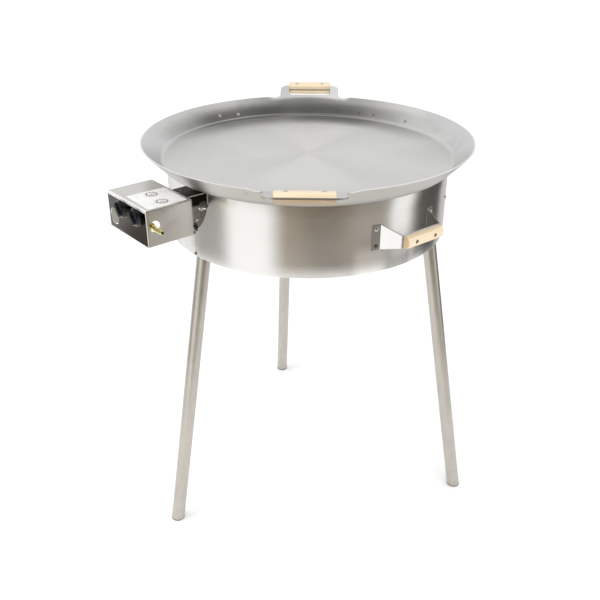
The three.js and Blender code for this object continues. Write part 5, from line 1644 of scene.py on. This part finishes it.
# label plate on the box: two bare dials without words
def label_material():
    g = Net("dial_label_satin")
    p = g.place()
    x, y, z = g.split(p)
    X = g.math("MULTIPLY", x, 1000.0)
    Y = g.math("SUBTRACT", g.math("MULTIPLY", y, 1000.0), AXIS_Y)
    ink = None
    for cx, cy in ((0.0, -393.0), (45.0, -397.0)):
        dx, dy = g.math("SUBTRACT", X, cx), g.math("SUBTRACT", Y, cy)
        d = g.math("SQRT", g.math("ADD", g.math("MULTIPLY", dx, dx), g.math("MULTIPLY", dy, dy)))
        a = g.math("ARCTAN2", dx, dy)                       # 0 at the rear, clockwise
        k = g.math("DIVIDE", g.math("ADD", a, math.pi), 2 * math.pi)
        ring = g.range(g.math("ABSOLUTE", g.math("SUBTRACT", d, 10.2)), 1.6, 1.0)
        hub = g.range(d, 3.6, 2.6)
        tick = g.math("ABSOLUTE", g.math("SUBTRACT", g.math("FRACT", g.math("MULTIPLY", k, 12.0)), 0.5))
        tick = g.math("MULTIPLY", g.range(tick, 0.10, 0.06), g.range(g.math("ABSOLUTE", g.math("SUBTRACT", d, 13.4)), 1.6, 1.3))
        swell = g.math("MULTIPLY", g.math("SUBTRACT", k, 0.15), 2.2)
        wedge = g.range(g.math("ABSOLUTE", g.math("SUBTRACT", d, 6.0)), g.math("ADD", swell, 0.15), g.math("SUBTRACT", swell, 0.15))
        wedge = g.math("MULTIPLY", wedge, g.range(k, 0.14, 0.16))
        one = g.math("MAXIMUM", g.math("MAXIMUM", ring, tick), g.math("MAXIMUM", g.math("MULTIPLY", wedge, 0.7), g.math("MULTIPLY", hub, 0.6)))
        ink = one if ink is None else g.math("MAXIMUM", ink, one)
    paper = g.noise(p, 260.0, 3.0, 0.6)
    stain = g.noise(p, 40.0, 3.0, 0.6, 0.5)
    col = g.ramp(g.math("MULTIPLY", g.math("ADD", paper, stain), 0.5), [(0.3, (0.66, 0.655, 0.65)), (0.5, (0.80, 0.795, 0.79)), (0.7, (0.86, 0.855, 0.85))])
    col = g.mix(g.math("MULTIPLY", ink, 0.92), col, (0.085, 0.065, 0.07))
    g.set(Specular_IOR_Level=0.5)
    g.put(g.b.inputs["Base Color"], col)
    g.put(g.b.inputs["Roughness"], g.range(stain, 0.3, 0.7, 0.28, 0.42, smooth=False))
    g.put(g.b.inputs["Normal"], g.bump(paper, 0.06, 0.0001))
    return g.mat


s = Shape()
slab(s, rounded([(-20.5, -436.5), (66, -439), (67.5, -356), (-18.5, -354)], 2.0, 4), BOX_Z1 - 0.02, BOX_Z1 + 0.16)
piece("dial_label", s, label_material(), "stand", (), "box_steel", sharp=30)

# The photo shows no mirror image of the small parts in the brushed sheets.
for o in scene.objects:
    if o.name.startswith(("handle_", "grip_screw_", "bracket_screw_", "control_box_case", "dial_label", "wing_screw")):
        o.visible_glossy = False

# ----------------------------------------------------------------- floor, light
def studio():
    s = bpy.data.meshes.new("floor")
    bm = bmesh.new()
    n = 96
    ring = [bm.verts.new((40 * math.cos(2 * math.pi * i / n), 40 * math.sin(2 * math.pi * i / n), 0)) for i in range(n)]
    bm.faces.new(ring)
    bm.to_mesh(s)
    bm.free()
    floor = bpy.data.objects.new("floor", s)
    scene.collection.objects.link(floor)
    g = Net("floor_paper")
    p = g.place()
    a = g.noise(p, 3.0, 2.0, 0.5)
    b = g.noise(p, 220.0, 2.0, 0.5)
    g.put(g.b.inputs["Base Color"], g.ramp(g.math("ADD", g.math("MULTIPLY", a, 0.6), g.math("MULTIPLY", b, 0.4)), [(0.2, (0.90, 0.90, 0.90)), (0.8, (0.94, 0.94, 0.94))]))
    g.set(Roughness=0.9, Specular_IOR_Level=0.0, Emission_Strength=FLOOR_GLOW)
    g.put(g.b.inputs["Emission Color"], (1.0, 1.0, 1.0))
    s.materials.append(g.mat)

    # a ring of light and dark cards round the object, which only polished metal sees
    me = bpy.data.meshes.new("cards")
    bm = bmesh.new()
    n, R = 180, 1.25
    lo = [bm.verts.new((R * math.cos(2 * math.pi * i / n), AXIS_Y * 0.001 + R * math.sin(2 * math.pi * i / n), 0.0)) for i in range(n)]
    hi = [bm.verts.new((v.co.x, v.co.y, 2.7)) for v in lo]
    for i in range(n):
        j = (i + 1) % n
        bm.faces.new([lo[j], lo[i], hi[i], hi[j]])
    bm.to_mesh(me)
    bm.free()
    ring = bpy.data.objects.new("card_ring", me)
    scene.collection.objects.link(ring)
    ring.visible_camera = ring.visible_diffuse = ring.visible_shadow = ring.visible_transmission = False
    g = Net("card_light")
    g.t.nodes.remove(g.b)
    x, y, z = g.split(g.place())
    y = g.math("SUBTRACT", y, AXIS_Y * 0.001)
    ca, sa = math.cos(rad(CAM_AZ)), math.sin(rad(CAM_AZ))
    fx = g.math("ADD", g.math("MULTIPLY", x, ca), g.math("MULTIPLY", y, sa))
    fy = g.math("SUBTRACT", g.math("MULTIPLY", y, ca), g.math("MULTIPLY", x, sa))
    phi = g.math("MULTIPLY", g.math("ARCTAN2", fy, fx), 180 / math.pi)
    def strip(cards):
        col = (*CARD_BASE, 1.0)
        for c0, half, soft_l, soft_r, level, warm, low in cards:
            d = g.math("SUBTRACT", phi, c0)
            if abs(c0) > 120:
                d = g.math("MULTIPLY", g.math("SUBTRACT", g.math("FRACT", g.math("ADD", g.math("DIVIDE", d, 360.0), 0.5)), 0.5), 360.0)
            m = g.math("MULTIPLY", g.range(d, -half - soft_l / 2, -half + soft_l / 2), g.range(d, half + soft_r / 2, half - soft_r / 2))
            if low:
                m = g.math("MULTIPLY", m, g.range(z, low[0], low[1]))
            tint = (level * (1 + 0.16 * warm), level, level * (1 - 0.2 * warm))
            col = g.mix(m, col, (*tint, 1.0))
        return col

    col = g.mix(g.range(z, 0.80, 1.0), strip(CARDS), strip(HIGH_CARDS))
    e = g.node("ShaderNodeEmission")
    g.put(e.inputs["Color"], col)
    e.inputs["Strength"].default_value = 1.0
    g.t.links.new(e.outputs[0], g.out.inputs[0])
    g.mat.cycles.emission_sampling = "NONE"
    me.materials.append(g.mat)

    w = bpy.data.worlds.new("studio")
    scene.world = w
    w.use_nodes = True
    t = w.node_tree
    t.nodes.clear()
    out = t.nodes.new("ShaderNodeOutputWorld")
    plain = t.nodes.new("ShaderNodeBackground")
    plain.inputs["Color"].default_value = (1.0, 1.0, 1.0, 1.0)
    plain.inputs["Strength"].default_value = WORLD_FILL
    # overhead, as polished metal sees it: bright behind the object, dim above the camera
    tc = t.nodes.new("ShaderNodeTexCoord")
    dot = t.nodes.new("ShaderNodeVectorMath")
    dot.operation = "DOT_PRODUCT"
    t.links.new(tc.outputs["Generated"], dot.inputs[0])
    dot.inputs[1].default_value = (math.cos(rad(CEILING_AZ)), math.sin(rad(CEILING_AZ)), 0.0)
    rng = t.nodes.new("ShaderNodeMapRange")
    rng.interpolation_type = "SMOOTHSTEP"
    t.links.new(dot.outputs["Value"], rng.inputs[0])
    for i, v in enumerate(CEILING):
        rng.inputs[i + 1].default_value = v
    over = t.nodes.new("ShaderNodeBackground")
    over.inputs["Color"].default_value = (1.0, 0.985, 0.96, 1.0)
    t.links.new(rng.outputs[0], over.inputs["Strength"])
    path = t.nodes.new("ShaderNodeLightPath")
    mix = t.nodes.new("ShaderNodeMixShader")
    t.links.new(path.outputs["Is Glossy Ray"], mix.inputs[0])
    t.links.new(plain.outputs[0], mix.inputs[1])
    t.links.new(over.outputs[0], mix.inputs[2])
    t.links.new(mix.outputs[0], out.inputs[0])

    def area(name, loc, size, power, target=(0, 0.05, 0.75)):
        data = bpy.data.lights.new(name, "AREA")
        data.shape, data.size, data.size_y, data.energy = "RECTANGLE", size[0], size[1], power
        o = bpy.data.objects.new(name, data)
        scene.collection.objects.link(o)
        o.location = loc
        o.rotation_mode = "QUATERNION"
        o.rotation_quaternion = (Vector(target) - Vector(loc)).to_track_quat("-Z", "Y")
        o.visible_glossy = False
        o.visible_camera = False
        return o

    area("key_light", (-1.2, -2.2, 3.2), (2.4, 2.4), KEY)
    area("fill_light", (2.6, -0.6, 2.6), (2.6, 2.6), FILL)


CAM_AZ = -40.7
CARD_BASE = (0.42, 0.385, 0.335)
# light seen in the upright parts: centre, half width, softness left and right (degrees from the camera's side,
# + to its right), brightness, warmth, and the height over which the card fades in
CARDS = [
    (180.0, 55.0, 14.0, 14.0, 0.86, 0.0, None),
    (-110.0, 17.0, 8.0, 8.0, 1.05, 0.0, None),
    (-76.0, 15.0, 8.0, 8.0, 0.42, 0.3, None),
    (4.0, 34.0, 10.0, 30.0, 0.305, 1.3, None),
    (13.0, 15.0, 20.0, 26.0, 0.205, 1.2, None),
    (46.0, 12.0, 18.0, 10.0, 0.35, 0.6, None),
    (-40.5, 19.0, 15.0, 18.0, 1.27, 0.0, None),
    (70.5, 9.8, 8.0, 9.0, 1.2, 0.0, (0.14, 0.24)),
    (104.0, 18.0, 8.0, 8.0, 0.08, 0.4, None),
    (136.0, 9.0, 6.0, 6.0, 0.65, 0.0, None),
]
# the same for surfaces that look up
HIGH_CARDS = [
    (0.0, 75.0, 20.0, 20.0, 0.10, 0.3, None),
    (-76.0, 18.0, 26.0, 20.0, 0.26, 0.1, None),
    (-105.0, 22.0, 30.0, 26.0, 0.40, 0.1, None),
    (74.0, 18.0, 20.0, 26.0, 0.52, 0.1, None),
    (102.0, 20.0, 26.0, 30.0, 0.74, 0.1, None),
    (186.0, 58.0, 26.0, 26.0, 0.86, 0.0, None),
]
CEILING = (-0.2, 0.43, 0.95, 0.11)
CEILING_AZ = CAM_AZ - 9.0
FLOOR_GLOW = 0.16
WORLD_FILL = 0.95
KEY, FILL = 38.0, 22.0


def camera():
    data = bpy.data.cameras.new("camera")
    cam = bpy.data.objects.new("camera", data)
    scene.collection.objects.link(cam)
    data.sensor_width, data.lens = 36.0, 45.726
    data.clip_start, data.clip_end = 0.05, 200.0
    yaw, pitch, roll = rad(0.530), rad(28.3206), rad(0.249)
    sy, cy, sp, cp = math.sin(yaw), math.cos(yaw), math.sin(pitch), math.cos(pitch)
    r0, u0 = Vector((cy, sy, 0)), Vector((-sp * sy, sp * cy, cp))
    fwd = Vector((-cp * sy, cp * cy, -sp))
    x = r0 * math.cos(roll) + u0 * math.sin(roll)
    y = r0 * -math.sin(roll) + u0 * math.cos(roll)
    m = Matrix((x, y, -fwd)).transposed().to_4x4()
    cam.matrix_world = Matrix.Translation((1.23857, -1.06534 + AXIS_Y * 0.001, 1.33719)) @ (turn_z(49.3) @ m)
    scene.camera = cam


studio()
camera()
scene.view_settings.view_transform = "Standard"
scene.view_settings.look = "None"
scene.view_settings.exposure = 0.0
scene.view_settings.gamma = 1.0
